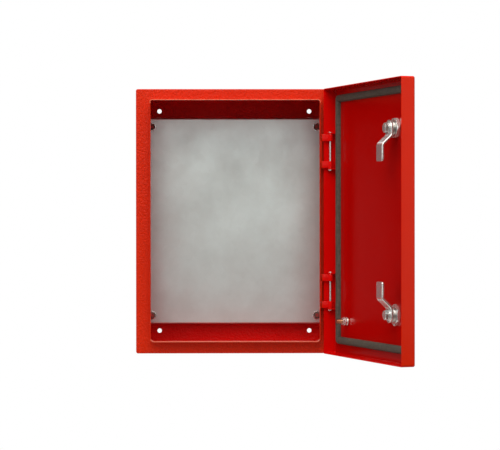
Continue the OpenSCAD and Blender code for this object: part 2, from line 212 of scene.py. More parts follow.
# Flat plate: the outline at each depth, drawn in at both faces by a quarter circle.
def plateSolid(outline, near, far, edge=0.3, edgeSteps=3):
    bend = np.linspace(0, math.pi / 2, edgeSteps + 1)
    draw = edge * (1 - np.cos(bend))[::-1]
    rise = edge * (1 - np.sin(bend))[::-1]
    insets = np.concatenate([draw, draw[::-1]])
    depths = np.concatenate([near + rise, far - rise[::-1]])
    rings = [np.column_stack([insetOutline(outline, i), np.full(len(outline), d)])
             for i, d in zip(insets, depths)]
    return ringSolid(rings)


# Solid of revolution of (radius, height) points; bored closes the profile round a bore.
def turnedSolid(profile, segments=48, bored=False):
    profile = np.asarray(profile, float)
    angle = np.arange(segments) * 2 * math.pi / segments
    radius, height = profile[:, :1], profile[:, 1:]
    rings = np.stack([radius * np.cos(angle), radius * np.sin(angle),
                      height + 0 * angle], -1)
    return ringSolid(rings, tube=bored)


# Washer: a flat ring whose section is a rectangle with its outer corners rounded.
def washerSolid(bore, radius, near, far, edge=0.25, edgeSteps=3, guard=0.05, segments=48):
    section = filletPath([(bore, near), (radius, near), (radius, far), (bore, far)],
                         [0.1, edge, edge, 0.1], edgeSteps, guard=guard)
    return turnedSolid(section, segments, bored=True)


# Hexagon bar with a bore: the radius is the smaller of the hexagon's own and a limit that falls off
# towards both faces as a cone.
def hexSolid(across, near, far, chamfer, boreRadius, turn=0.0, segments=96):
    angle = np.arange(segments) * 2 * math.pi / segments
    sector = (angle - math.radians(turn)) % (math.pi / 3) - math.pi / 6
    corner = across / 2 / math.cos(math.pi / 6)
    rounded = np.minimum(across / 2 / np.cos(sector), corner - 0.15)
    share = np.linspace(0, 1, 6)
    cone = across / 2 - 0.1 + (corner - across / 2 + 0.1) * share
    limit = np.concatenate([cone, cone[::-1]])
    height = np.concatenate([near + chamfer * share, (far - chamfer * share)[::-1]])
    rings = [np.minimum(rounded, top) for top in limit]
    rings += [np.full(segments, boreRadius + 0.4), np.full(segments, boreRadius),
              np.full(segments, boreRadius), np.full(segments, boreRadius + 0.4)]
    height = np.concatenate([height, [far, far - 0.4, near + 0.4, near]])
    stack = [np.stack([r * np.cos(angle), r * np.sin(angle), np.full(segments, h)], -1)
             for r, h in zip(rings, height)]
    return ringSolid(stack, tube=True)


# Rod with a thread: the radius swings in and out once a pitch along the rod, shifted by one pitch
# for each turn round it, and the swing fades out at both ends of the thread.
def threadedRod(radius, pitch, start, end, threadFrom, threadTo, tip=0.8, segments=48, perPitch=6):
    steps = max(int((threadTo - threadFrom) / pitch * perPitch), 2)
    height = np.concatenate([[start, start + tip], np.linspace(threadFrom, threadTo, steps), [end]])
    height = np.unique(np.round(height, 4))
    angle = np.arange(segments) * 2 * math.pi / segments
    phase = (height[:, None] / pitch - angle[None] / (2 * math.pi)) % 1
    groove = 0.5 + 0.5 * np.cos(2 * math.pi * phase)
    fade = np.clip(np.minimum(height - threadFrom, threadTo - height) / pitch, 0, 1)
    cut = 0.3 * pitch * groove * fade[:, None]
    taper = np.clip((height - start) / tip, 0, 1) * 0.35 * tip + (radius - 0.35 * tip)
    r = np.minimum(radius, taper[:, None]) - cut
    rings = np.stack([r * np.cos(angle), r * np.sin(angle), height[:, None] + 0 * angle], -1)
    return ringSolid(rings)


# Bead of weld between two points: a round bar whose radius ripples along its length and shrinks to
# nothing at both ends.
def weldBead(start, end, radius, ripple=0.9, segments=10):
    start, end = np.asarray(start, float), np.asarray(end, float)
    length = np.linalg.norm(end - start)
    along = (end - start) / length
    side = np.cross(along, [0.31, 0.87, 0.39])
    side /= np.linalg.norm(side)
    other = np.cross(along, side)
    steps = max(int(length / 0.5), 8)
    share = np.linspace(0, 1, steps)
    swell = np.sin(math.pi * np.clip(share * length / radius / 3, 0, 0.5)) \
        * np.sin(math.pi * np.clip((1 - share) * length / radius / 3, 0, 0.5))
    r = radius * np.maximum(swell, 0.05) * (1 + 0.07 * np.sin(2 * math.pi * share * length / ripple))
    angle = np.arange(segments) * 2 * math.pi / segments
    middle = start + (end - start) * share[:, None]
    around = np.cos(angle)[:, None] * side + np.sin(angle)[:, None] * other
    return ringSolid(middle[:, None] + r[:, None, None] * around[None])


# A shell whose points go through a placing function, with its faces outwards again.
def moved(shell, place):
    points, faces = shell
    quads = np.array([f for f in faces if len(f) == 4])
    caps = [np.array(f) for f in faces if len(f) != 4]
    return outwards(place(points), quads, caps)


# One mesh of one or more closed shells, in metres.
def joinShells(name, shells):
    points, faces, base = [], [], 0
    for shellPoints, shellFaces in shells:
        points.append(shellPoints)
        faces += [[base + i for i in face] for face in shellFaces]
        base += len(shellPoints)
    mesh = bpy.data.meshes.new(name)
    mesh.from_pydata((np.concatenate(points) * mm).tolist(), [], faces)
    return mesh


madeCount = 0


# A piece made of closed shells, which rides on a body and stands for CAD nodes.
def makePiece(name, shells, body, nodes, material, sharp=32):
    global madeCount
    mesh = joinShells(name, shells)
    mesh.validate()
    mesh.polygons.foreach_set("use_smooth", np.ones(len(mesh.polygons), bool))
    mesh.set_sharp_from_angle(angle=math.radians(sharp))
    mesh.materials.append(material)
    piece = bpy.data.objects.new(name, mesh)
    bpy.context.scene.collection.objects.link(piece)
    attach(piece, body)
    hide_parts(*nodes)
    madeCount += 1
    return piece


# Takes closed shells out of a piece, and keeps the result as its mesh.
def cutAway(piece, shells, sharp=32):
    tool = joinShells("cutter", shells)
    cutter = bpy.data.objects.new("cutter", tool)
    bpy.context.scene.collection.objects.link(cutter)
    cut = piece.modifiers.new("cut", "BOOLEAN")
    cut.operation, cut.solver, cut.object = "DIFFERENCE", "EXACT", cutter
    bpy.context.view_layer.update()
    graph = bpy.context.evaluated_depsgraph_get()
    result = bpy.data.meshes.new_from_object(piece.evaluated_get(graph))
    piece.modifiers.remove(cut)
    old = piece.data
    piece.data = result
    result.name = piece.name
    result.set_sharp_from_angle(angle=math.radians(sharp))
    bpy.data.meshes.remove(old)
    bpy.data.objects.remove(cutter)
    bpy.data.meshes.remove(tool)


# Adds a shader node; a socket given as an input is linked, anything else is set as its value.
def addNode(tree, kind, inputs=None, **settings):
    node = tree.nodes.new("ShaderNode" + kind)
    for key, value in settings.items():
        setattr(node, key, value)
    for key, value in (inputs or {}).items():
        if isinstance(value, bpy.types.NodeSocket):
            tree.links.new(value, node.inputs[key])
        else:
            node.inputs[key].default_value = value
    return node


def maths(tree, operation, a, b=0.0, clamp=False):
    node = addNode(tree, "Math", {0: a, 1: b}, operation=operation, use_clamp=clamp)
    return node.outputs[0]


def times(tree, a, b, clamp=False):
    return maths(tree, "MULTIPLY", a, b, clamp)


def plus(tree, a, b, clamp=False):
    return maths(tree, "ADD", a, b, clamp)


def mixColours(tree, factor, a, b, blend="MIX"):
    node = addNode(tree, "Mix", {0: factor, 6: a, 7: b}, data_type="RGBA", blend_type=blend)
    return node.outputs[2]


def remap(tree, value, low, high, newLow=0.0, newHigh=1.0):
    node = addNode(tree, "MapRange", {0: value, 1: low, 2: high, 3: newLow, 4: newHigh})
    return node.outputs[0]


# Empty shader node group; inputs are (name, kind, default), outputs are (name, kind).
def newGroup(name, inputs, outputs):
    group = bpy.data.node_groups.new(name, "ShaderNodeTree")
    for label, kind, default in inputs:
        socket = group.interface.new_socket(name=label, in_out="INPUT", socket_type="NodeSocket" + kind)
        if default is not None:
            socket.default_value = default
    for label, kind in outputs:
        group.interface.new_socket(name=label, in_out="OUTPUT", socket_type="NodeSocket" + kind)
    return group, group.nodes.new("NodeGroupInput").outputs, group.nodes.new("NodeGroupOutput").inputs


# Places a node group in a material, with its inputs linked or set in the same way.
def placeGroup(tree, group, **inputs):
    node = tree.nodes.new("ShaderNodeGroup")
    node.node_tree = group
    for key, value in inputs.items():
        if isinstance(value, bpy.types.NodeSocket):
            tree.links.new(value, node.inputs[key])
        else:
            node.inputs[key].default_value = value
    return node.outputs


# Powder coat: soft orange peel with finer grain on it, and a slow drift in tone.
def makePowderCoat():
    group, given, out = newGroup(
        "powderCoat",
        [("Place", "Vector", None), ("PeelSize", "Float", 600.0), ("Grain", "Float", 0.3)],
        [("Height", "Float"), ("Drift", "Float"), ("Fleck", "Float")])
    peel = addNode(group, "TexNoise", {"Vector": given["Place"], "Scale": given["PeelSize"],
                                       "Detail": 2.0, "Roughness": 0.45})
    fineScale = times(group, given["PeelSize"], 3.1)
    fine = addNode(group, "TexNoise", {"Vector": given["Place"], "Scale": fineScale, "Detail": 3.0})
    cells = addNode(group, "TexVoronoi", {"Vector": given["Place"], "Scale": given["PeelSize"],
                                          "Smoothness": 0.7}, feature="SMOOTH_F1")
    hollow = times(group, cells.outputs["Distance"], -0.5)
    rounded = plus(group, peel.outputs["Fac"], hollow)
    grain = times(group, fine.outputs["Fac"], given["Grain"])
    group.links.new(plus(group, rounded, grain), out["Height"])
    slow = addNode(group, "TexNoise", {"Vector": given["Place"], "Scale": 22.0, "Detail": 3.0})
    group.links.new(slow.outputs["Fac"], out["Drift"])
    group.links.new(remap(group, fine.outputs["Fac"], 0.62, 0.75), out["Fleck"])
    return group


# Edges: 1 on a convex edge and 0 elsewhere, broken up by noise.
def makeEdgeWear():
    group, given, out = newGroup(
        "edgeWear",
        [("Place", "Vector", None), ("Start", "Float", 0.54), ("Full", "Float", 0.62),
         ("Breakup", "Float", 0.5)],
        [("Edge", "Float")])
    geometry = addNode(group, "NewGeometry")
    edge = addNode(group, "MapRange", {0: geometry.outputs["Pointiness"], 1: given["Start"],
                                       2: given["Full"]})
    broken = addNode(group, "TexNoise", {"Vector": given["Place"], "Scale": 180.0, "Detail": 4.0})
    keep = maths(group, "SUBTRACT", 1.0, times(group, given["Breakup"], broken.outputs["Fac"]))
    group.links.new(times(group, edge.outputs[0], keep, clamp=True), out["Edge"])
    return group


# Dust: soft patches, thicker on faces that look up.
def makeDust():
    group, given, out = newGroup(
        "dust",
        [("Place", "Vector", None), ("Amount", "Float", 0.2), ("PatchSize", "Float", 14.0)],
        [("Dust", "Float")])
    geometry = addNode(group, "NewGeometry")
    up = addNode(group, "SeparateXYZ", {0: geometry.outputs["Normal"]})
    lying = remap(group, up.outputs["Z"], -0.2, 1.0, 0.25, 1.0)
    patch = addNode(group, "TexNoise", {"Vector": given["Place"], "Scale": given["PatchSize"],
                                        "Detail": 6.0, "Roughness": 0.62})
    cloud = remap(group, patch.outputs["Fac"], 0.42, 0.7)
    dust = times(group, times(group, cloud, lying), given["Amount"], clamp=True)
    group.links.new(dust, out["Dust"])
    return group


# Metal grain: fine scratches stretched along one direction, and cloudy plating under them.
def makeMetalGrain():
    group, given, out = newGroup(
        "metalGrain",
        [("Place", "Vector", None), ("Stretch", "Vector", (1.0, 1.0, 0.05)),
         ("Fineness", "Float", 1500.0), ("CloudSize", "Float", 60.0)],
        [("Scratch", "Float"), ("Cloud", "Float")])
    drawn = addNode(group, "VectorMath", {0: given["Place"], 1: given["Stretch"]}, operation="MULTIPLY")
    scratch = addNode(group, "TexNoise", {"Vector": drawn.outputs[0], "Scale": given["Fineness"],
                                          "Detail": 3.0, "Roughness": 0.6})
    cloud = addNode(group, "TexNoise", {"Vector": given["Place"], "Scale": given["CloudSize"],
                                        "Detail": 5.0, "Roughness": 0.55})
    group.links.new(scratch.outputs["Fac"], out["Scratch"])
    group.links.new(cloud.outputs["Fac"], out["Cloud"])
    return group


powderCoat = makePowderCoat()
edgeWear = makeEdgeWear()
dust = makeDust()
metalGrain = makeMetalGrain()
print("stage: node groups")


# Material with a Principled shader; constants are set on the shader's own sockets.
def newMaterial(name, constants):
    material = bpy.data.materials.new(name)
    material.use_nodes = True
    tree = material.node_tree
    tree.nodes.clear()
    output = addNode(tree, "OutputMaterial")
    shader = addNode(tree, "BsdfPrincipled", constants)
    tree.links.new(shader.outputs[0], output.inputs[0])
    place = addNode(tree, "TexCoord").outputs["Object"]
    return material, tree, shader, place


# Bump from a height, into the shader's normal.
def bumpInto(tree, shader, height, distance, strength=1.0):
    bump = addNode(tree, "Bump", {"Height": height, "Distance": distance, "Strength": strength})
    tree.links.new(bump.outputs[0], shader.inputs["Normal"])


# 1 within a box and 0 outside it. The box is given by its middle, its half sides and its turn about
# the vertical, all in metres and radians.
def boxMask(tree, place, box):
    local = addNode(tree, "Mapping", {"Vector": place, "Location": box["middle"], "Scale": box["half"],
                                      "Rotation": (0.0, 0.0, box["turn"])}, vector_type="TEXTURE")
    size = addNode(tree, "VectorMath", {0: local.outputs[0]}, operation="ABSOLUTE")
    side = addNode(tree, "SeparateXYZ", {0: size.outputs[0]}).outputs
    farthest = maths(tree, "MAXIMUM", maths(tree, "MAXIMUM", side[0], side[1]), side[2])
    return maths(tree, "LESS_THAN", farthest, 1.0)


# Red powder coat, a little paler and rougher on the edges and where dust lies. Zones are boxes with
# a tone of their own: painted shade and red inter-reflection, a deeper red where the insides lie in shade.
def paintMaterial(name, look):
    material, tree, shader, place = newMaterial(name, {"IOR": 1.5, "Specular IOR Level": look["gloss"]})
    coat = placeGroup(tree, powderCoat, Place=place, PeelSize=look["peelSize"], Grain=look["grain"])
    edge = placeGroup(tree, edgeWear, Place=place, Start=0.53, Full=0.64, Breakup=0.6)
    film = placeGroup(tree, dust, Place=place, Amount=look["dust"], PatchSize=18.0)
    base = mixColours(tree, coat["Drift"], look["deep"], look["bright"])
    # Painted shade and red inter-reflection: inside each box the red takes a deeper tone.
    for zone, tone in look.get("zones", []):
        base = mixColours(tree, boxMask(tree, place, zone), base, tone)
    # Painted highlight: a pale line within one band, left out inside a second box.
    if "thinLine" in look:
        beyond = maths(tree, "SUBTRACT", 1.0, boxMask(tree, place, look["thickUpTo"]))
        line = times(tree, boxMask(tree, place, look["thinLine"]), beyond)
        base = mixColours(tree, times(tree, line, look["thinShare"]), base, look["thinColour"])
    base = mixColours(tree, times(tree, coat["Fleck"], look["fleck"]), base, look["fleckColour"])
    base = mixColours(tree, times(tree, edge["Edge"], look["edge"]), base, look["edgeColour"])
    base = mixColours(tree, film["Dust"], base, look["dustColour"])
    tree.links.new(base, shader.inputs["Base Color"])
    rough = remap(tree, coat["Drift"], 0.2, 0.8, look["roughLow"], look["roughHigh"])
    rough = plus(tree, rough, times(tree, film["Dust"], 0.5), clamp=True)
    tree.links.new(rough, shader.inputs["Roughness"])
    bumpInto(tree, shader, coat["Height"], look["peelDepth"] * mm)
    return material


metalDust = (0.32, 0.29, 0.26, 1.0)


# Plated metal: cloudy plating, fine scratches along one way, brighter worn edges.
def metalMaterial(name, look):
    material, tree, shader, place = newMaterial(name, {})
    grain = placeGroup(tree, metalGrain, Place=place, Stretch=look["stretch"],
                       Fineness=look["fineness"], CloudSize=look["cloudSize"])
    edge = placeGroup(tree, edgeWear, Place=place, Start=0.53, Full=0.62, Breakup=0.5)
    film = placeGroup(tree, dust, Place=place, Amount=look["dust"], PatchSize=30.0)
    cloud = remap(tree, grain["Cloud"], 0.3, 0.7)
    base = mixColours(tree, cloud, look["dark"], look["light"])
    base = mixColours(tree, times(tree, edge["Edge"], look["edge"]), base, look["edgeColour"])
    base = mixColours(tree, film["Dust"], base, metalDust)
    tree.links.new(base, shader.inputs["Base Color"])
    metallic = maths(tree, "SUBTRACT", look["metallic"], film["Dust"], clamp=True)
    tree.links.new(metallic, shader.inputs["Metallic"])
    rough = remap(tree, grain["Scratch"], 0.25, 0.75, look["roughLow"], look["roughHigh"])
    rough = plus(tree, rough, times(tree, cloud, look["cloudRough"]), clamp=True)
    tree.links.new(rough, shader.inputs["Roughness"])
    bumpInto(tree, shader, grain["Scratch"], look["scratchDepth"] * mm)
    return material


# Galvanised sheet: fine spangle cells of slightly different tone over rolling lines.
def galvanisedMaterial(name, look):
    material, tree, shader, place = newMaterial(name, {})
    grain = placeGroup(tree, metalGrain, Place=place, Stretch=(1.0, 1.0, 0.04),
                       Fineness=900.0, CloudSize=16.0)
    film = placeGroup(tree, dust, Place=place, Amount=look["dust"], PatchSize=9.0)
    warp = addNode(tree, "TexNoise", {"Vector": place, "Scale": 90.0, "Detail": 2.0})
    bent = mixColours(tree, 0.004, place, warp.outputs["Color"])
    spangle = addNode(tree, "TexVoronoi", {"Vector": bent, "Scale": look["spangleSize"]}, feature="F1")
    tone = addNode(tree, "SeparateColor", {0: spangle.outputs["Color"]}).outputs[0]
    blotch = times(tree, maths(tree, "SUBTRACT", tone, 0.5), look["spangle"])
    level = plus(tree, remap(tree, grain["Cloud"], 0.3, 0.7), blotch, clamp=True)
    base = mixColours(tree, level, look["dark"], look["light"])
    base = mixColours(tree, film["Dust"], base, look["dustColour"])
    tree.links.new(base, shader.inputs["Base Color"])
    tree.links.new(maths(tree, "SUBTRACT", look["metallic"], film["Dust"], clamp=True),
                   shader.inputs["Metallic"])
    rough = remap(tree, level, 0.0, 1.0, look["roughHigh"], look["roughLow"])
    rough = plus(tree, rough, times(tree, grain["Scratch"], 0.08), clamp=True)
    tree.links.new(rough, shader.inputs["Roughness"])
    height = plus(tree, grain["Scratch"], times(tree, tone, 0.6))
    bumpInto(tree, shader, height, look["reliefDepth"] * mm)
    return material


# Foamed seal: a dull skin with small open pores, greyer where dust lies.
def foamMaterial(name, look):
    material, tree, shader, place = newMaterial(name, {"Specular IOR Level": 0.25})
    pores = addNode(tree, "TexVoronoi", {"Vector": place, "Scale": look["poreSize"]}, feature="F1")
    pit = remap(tree, pores.outputs["Distance"], 0.0, 0.35)
    rough = addNode(tree, "TexNoise", {"Vector": place, "Scale": 260.0, "Detail": 5.0})
    film = placeGroup(tree, dust, Place=place, Amount=look["dust"], PatchSize=40.0)
    base = mixColours(tree, remap(tree, rough.outputs["Fac"], 0.3, 0.7), look["dark"], look["light"])
    # Painted shade: the middle of each pore is painted nearly black.
    base = mixColours(tree, pit, look["pore"], base)
    base = mixColours(tree, film["Dust"], base, look["dustColour"])
    tree.links.new(base, shader.inputs["Base Color"])
    tree.links.new(remap(tree, rough.outputs["Fac"], 0.0, 1.0, 0.7, 0.95), shader.inputs["Roughness"])
    height = plus(tree, pit, times(tree, rough.outputs["Fac"], 0.8))
    bumpInto(tree, shader, height, look["poreDepth"] * mm)
    return material


# Moulded rubber: nearly black, fine moulding grain and a greyish bloom.
def rubberMaterial(name, look):
    material, tree, shader, place = newMaterial(name, {"Specular IOR Level": 0.35})
    grain = addNode(tree, "TexNoise", {"Vector": place, "Scale": 1800.0, "Detail": 3.0})
    bloom = placeGroup(tree, dust, Place=place, Amount=look["dust"], PatchSize=50.0)
    base = mixColours(tree, bloom["Dust"], look["colour"], look["bloom"])
    tree.links.new(base, shader.inputs["Base Color"])
    tree.links.new(remap(tree, grain.outputs["Fac"], 0.2, 0.8, 0.55, 0.8), shader.inputs["Roughness"])
    bumpInto(tree, shader, grain.outputs["Fac"], 0.05 * mm)
    return material


# Inside of the enclosure: just behind the skin of its sides and of its front flange. Within it the red is
# painted deeper, as painted shade and red inter-reflection.
coatEdge = 0.6
enclosureInside = {
    "middle": tuple((bodyLow + bodyHigh) / 2 * mm + [0.0, (lipDepth + coatEdge) / 2 * mm, 0.0]),
    "half": tuple(((bodyHigh - bodyLow) / 2 - [coatEdge, (lipDepth + coatEdge) / 2, coatEdge]) * mm),
    "turn": 0.0}
# Inside of the door pan, as far as the panel's inner face.
doorMiddle = np.array([0.0, flangeY - panelIn / 2, 0.0])
doorInside = {
    "middle": tuple(openDoor(doorMiddle) * mm),
    "half": tuple(np.array([bodyHigh[0] - coatEdge, panelIn / 2 + coatEdge, bodyHigh[2] - coatEdge]) * mm),
    "turn": restAngle}
# Thin box on the panel's inner face, painted darker: painted shade.
panelMiddle = np.array([0.0, flangeY - panelIn, 0.0])
doorPanel = dict(doorInside, middle=tuple(openDoor(panelMiddle) * mm),
                 half=(doorInside["half"][0], coatEdge * mm, doorInside["half"][2]))
# A pale line painted along the lip's cut edge, which shows above and below the opening: a painted
# highlight where the edge catches the light.
lipEdgeHeight, lipHighlightFrom = 0.45, 178.0
lipEdge = {
    "middle": (0.0, float(bodyLow[1] + lipEdgeHeight / 2) * mm, 0.0),
    "half": (float(bodyHigh[0]) * mm, lipEdgeHeight / 2 * mm, float(bodyHigh[2]) * mm), "turn": 0.0}
lipSides = {"middle": (0.0, float(flangeY) * mm, 0.0),
            "half": (float(bodyHigh[0]) * mm, 1.0, lipHighlightFrom * mm), "turn": 0.0}
texturedRed = paintMaterial("texturedRed", {
    "deep": (0.55, 0.0150, 0.0006, 1), "bright": (0.61, 0.0200, 0.0008, 1),
    "thinLine": lipEdge, "thickUpTo": lipSides, "thinShare": 0.75,
    "thinColour": (0.80, 0.19, 0.11, 1),
    # Deeper, more saturated red inside the enclosure: painted shade and red inter-reflection.
    "zones": [(enclosureInside, (0.77, 0.0022, 0.0010, 1))],
    "gloss": 0.12, "roughLow": 0.30, "roughHigh": 0.42,
    "peelSize": 330.0, "peelDepth": 0.80, "grain": 0.35,
    "fleck": 0.22, "fleckColour": (0.78, 0.13, 0.06, 1),
    "edge": 0.10, "edgeColour": (0.72, 0.09, 0.05, 1),
    "dust": 0.02, "dustColour": (0.45, 0.22, 0.18, 1)})
smoothRed = paintMaterial("smoothRed", {
    "deep": (0.56, 0.0130, 0.0004, 1), "bright": (0.62, 0.0160, 0.0006, 1),
    # Deeper red inside the door pan and darker on its panel: painted shade and red inter-reflection.
    "zones": [(doorInside, (0.66, 0.0014, 0.0008, 1)), (doorPanel, (0.43, 0.0010, 0.0004, 1))],
    "gloss": 0.10, "roughLow": 0.15, "roughHigh": 0.20,
    "peelSize": 330.0, "peelDepth": 0.05, "grain": 0.10,
    "fleck": 0.0, "fleckColour": (0.70, 0.10, 0.05, 1),
    "edge": 0.12, "edgeColour": (0.72, 0.08, 0.04, 1),
    "dust": 0.01, "dustColour": (0.40, 0.20, 0.16, 1)})
studRed = paintMaterial("studRed", {
    "deep": (0.20, 0.010, 0.006, 1), "bright": (0.32, 0.014, 0.008, 1),
    "gloss": 0.4, "roughLow": 0.42, "roughHigh": 0.6,
    "peelSize": 700.0, "peelDepth": 0.10, "grain": 0.5,
    "fleck": 0.10, "fleckColour": (0.45, 0.40, 0.36, 1),
    "edge": 0.8, "edgeColour": (0.40, 0.34, 0.31, 1),
    "dust": 0.15, "dustColour": (0.30, 0.22, 0.20, 1)})
galvanisedSteel = galvanisedMaterial("galvanisedSteel", {
    "dark": (0.535, 0.590, 0.585, 1), "light": (0.605, 0.670, 0.665, 1), "metallic": 0.92,
    "spangleSize": 130.0, "spangle": 0.22, "roughLow": 0.30, "roughHigh": 0.36,
    "reliefDepth": 0.01, "dust": 0.05, "dustColour": (0.36, 0.34, 0.31, 1)})
zincPlate = metalMaterial("zincPlate", {
    "dark": (0.74, 0.75, 0.75, 1), "light": (0.86, 0.87, 0.86, 1), "metallic": 0.80,
    "edge": 0.5, "edgeColour": (0.94, 0.93, 0.92, 1), "stretch": (1.0, 1.0, 0.08),
    "fineness": 1600.0, "cloudSize": 120.0, "roughLow": 0.16, "roughHigh": 0.22,
    "cloudRough": 0.04, "scratchDepth": 0.002, "dust": 0.02})
# Nut finish: blackened zinc, its dark reddish-brown tone also painted shade and a painted reflection of
# the red walls in the plate's corners.
darkZinc = metalMaterial("darkZinc", {
    "dark": (0.10, 0.075, 0.065, 1), "light": (0.20, 0.16, 0.14, 1), "metallic": 0.9,
    "edge": 0.7, "edgeColour": (0.45, 0.40, 0.36, 1), "stretch": (1.0, 1.0, 1.0),
    "fineness": 900.0, "cloudSize": 200.0, "roughLow": 0.35, "roughHigh": 0.55,
    "cloudRough": 0.1, "scratchDepth": 0.03, "dust": 0.15})
zincCast = metalMaterial("zincCast", {
    "dark": (0.50, 0.49, 0.47, 1), "light": (0.68, 0.67, 0.65, 1), "metallic": 1.0,
    "edge": 0.5, "edgeColour": (0.88, 0.87, 0.85, 1), "stretch": (1.0, 1.0, 1.0),
    "fineness": 1300.0, "cloudSize": 150.0, "roughLow": 0.22, "roughHigh": 0.40,
    "cloudRough": 0.1, "scratchDepth": 0.04, "dust": 0.05})
copperPlate = metalMaterial("copperPlate", {
    "dark": (0.40, 0.15, 0.07, 1), "light": (0.60, 0.28, 0.16, 1), "metallic": 1.0,
    "edge": 0.5, "edgeColour": (0.90, 0.55, 0.38, 1), "stretch": (1.0, 1.0, 1.0),
    "fineness": 1200.0, "cloudSize": 220.0, "roughLow": 0.20, "roughHigh": 0.38,
    "cloudRough": 0.1, "scratchDepth": 0.02, "dust": 0.04})
foamSeal = foamMaterial("foamSeal", {
    "dark": (0.060, 0.050, 0.040, 1), "light": (0.105, 0.090, 0.074, 1),
    "pore": (0.020, 0.016, 0.013, 1), "poreSize": 750.0, "poreDepth": 0.25,
    "dust": 0.10, "dustColour": (0.22, 0.19, 0.16, 1)})
blackRubber = rubberMaterial("blackRubber", {
    "colour": (0.018, 0.018, 0.019, 1), "bloom": (0.10, 0.095, 0.09, 1), "dust": 0.2})
print("stage: finishes")


enclosure = {
    "sheet": 1.2, "cornerRadius": 3.0, "bend": 1.9, "lipBend": 2.2, "lipEdge": 0.55,
    "sideFlange": 22.5, "topFlange": 17.5, "bottomFlange": 19.0,
    "openingLowRadius": 5.0, "openingHighRadius": 2.0, "backEdge": 0.35,
    "backGroove": 0.12, "holeChamfer": 0.3,
}
outerLow, outerHigh = bodyLow[[0, 2]], bodyHigh[[0, 2]]
openingLow = outerLow + [enclosure["sideFlange"], enclosure["bottomFlange"]]
openingHigh = outerHigh - [enclosure["sideFlange"], enclosure["topFlange"]]


# The outline of the enclosure, and below it that of its opening, moved inwards.
def outerRing(inset):
    r = enclosure["cornerRadius"]
    return roundRect(outerLow, outerHigh, r, r, inset)


def openingRing(inset):
    return roundRect(openingLow, openingHigh, enclosure["openingLowRadius"],
                     enclosure["openingHighRadius"], inset)


# One sheet folded into sides, front flange and lip. Its section is a list of points, each an inset
# from the outer outline or from the opening's outline and a depth, and every point of the section
# becomes a ring.
def makeBodyWrap(look):
    sheet, bend, lipBend, edge = look["sheet"], look["bend"], look["lipBend"], look["lipEdge"]
    back, guard = flangeY, 0.3           # the wall is at Y = 0, so its depth is the flange's Y
    quarter = np.linspace(0, math.pi / 2, 7)
    section = []
    # outside: wall edge, side, bend, flange
    section += [("outer", look["backEdge"], back), ("outer", 0.0, back + look["backEdge"])]
    section += [("outer", 0.0, -bend - guard)]
    section += [("outer", bend * (1 - math.cos(a)), -bend * (1 - math.sin(a))) for a in quarter]
    section += [("outer", bend + guard, 0.0)]
    # concave bend into the lip, the lip's outside, its rounded edge and its inside
    inner = lipBend - sheet
    section += [("opening", -lipBend - guard, 0.0)]
    section += [("opening", -sheet - inner * (1 - math.sin(a)), inner * (1 - math.cos(a)))
                for a in quarter]
    section += [("opening", -sheet, inner + guard), ("opening", -sheet, lipDepth - edge - guard)]
    halfTurn = np.linspace(0, math.pi, 9)
    section += [("opening", -sheet / 2 - sheet / 2 * math.cos(a), lipDepth - edge + edge * math.sin(a))
                for a in halfTurn]
    section += [("opening", 0.0, lipDepth - edge - guard), ("opening", 0.0, lipBend - sheet + guard)]
    section += [("opening", -lipBend * (1 - math.cos(a)), -sheet + lipBend * (1 - math.sin(a)))
                for a in quarter]
    # back of the flange, inside bend, inside of the side
    section += [("opening", -lipBend - guard, -sheet), ("outer", bend + guard, -sheet)]
    innerBend = bend - sheet
    section += [("outer", sheet + innerBend * (1 - math.sin(a)), -sheet - innerBend * (1 - math.cos(a)))
                for a in quarter]
    section += [("outer", sheet, -sheet - innerBend - guard), ("outer", sheet, back + look["backEdge"]),
                ("outer", sheet - look["backEdge"] * 0.5, back)]
    rings = []
    for outline, inset, depth in section:
        ring = outerRing(inset) if outline == "outer" else openingRing(inset)
        rings.append(onFront(np.column_stack([ring, np.full(len(ring), depth)])))
    return makePiece("bodyWrap", [ringSolid(rings, tube=True)], "enclosure",
                     ["body_wrap"], texturedRed)


cableEntry = {"lap": 15.0, "screwRadius": 2.5, "cornerRadius": 2.0,
              "gasketRadius": 4.0, "headRadius": 4.5, "headHeight": 3.0, "slot": 1.2}
gasketLow, gasketHigh = nodeBox("gland_gasket")
glandLow, glandHigh = nodeBox("gland_plate")
cutLow = gasketLow[:2] + cableEntry["lap"]
cutHigh = gasketHigh[:2] - cableEntry["lap"]
screwSpots = [(x, y) for x in (cutLow[0] - cableEntry["lap"] / 2, 0.0, cutHigh[0] + cableEntry["lap"] / 2)
              for y in (cutLow[1] - cableEntry["lap"] / 2, cutHigh[1] + cableEntry["lap"] / 2)]


# A flat outline in XY at a height.
def standing(outline, z):
    return np.column_stack([outline, np.full(len(outline), z)])


bodyWrap = makeBodyWrap(enclosure)
floorCut = roundRect(cutLow, cutHigh, cableEntry["cornerRadius"], cableEntry["cornerRadius"])
cutters = [ringSolid([standing(floorCut, bodyLow[2] - 2), standing(floorCut, gasketLow[2] + 0.4)])]
for x, y in screwSpots:
    hole = circleOutline(cableEntry["screwRadius"] + 0.25, 32) + [x, y]
    cutters.append(ringSolid([standing(hole, bodyLow[2] - 2), standing(hole, gasketLow[2] + 0.4)]))
cutAway(bodyWrap, cutters)


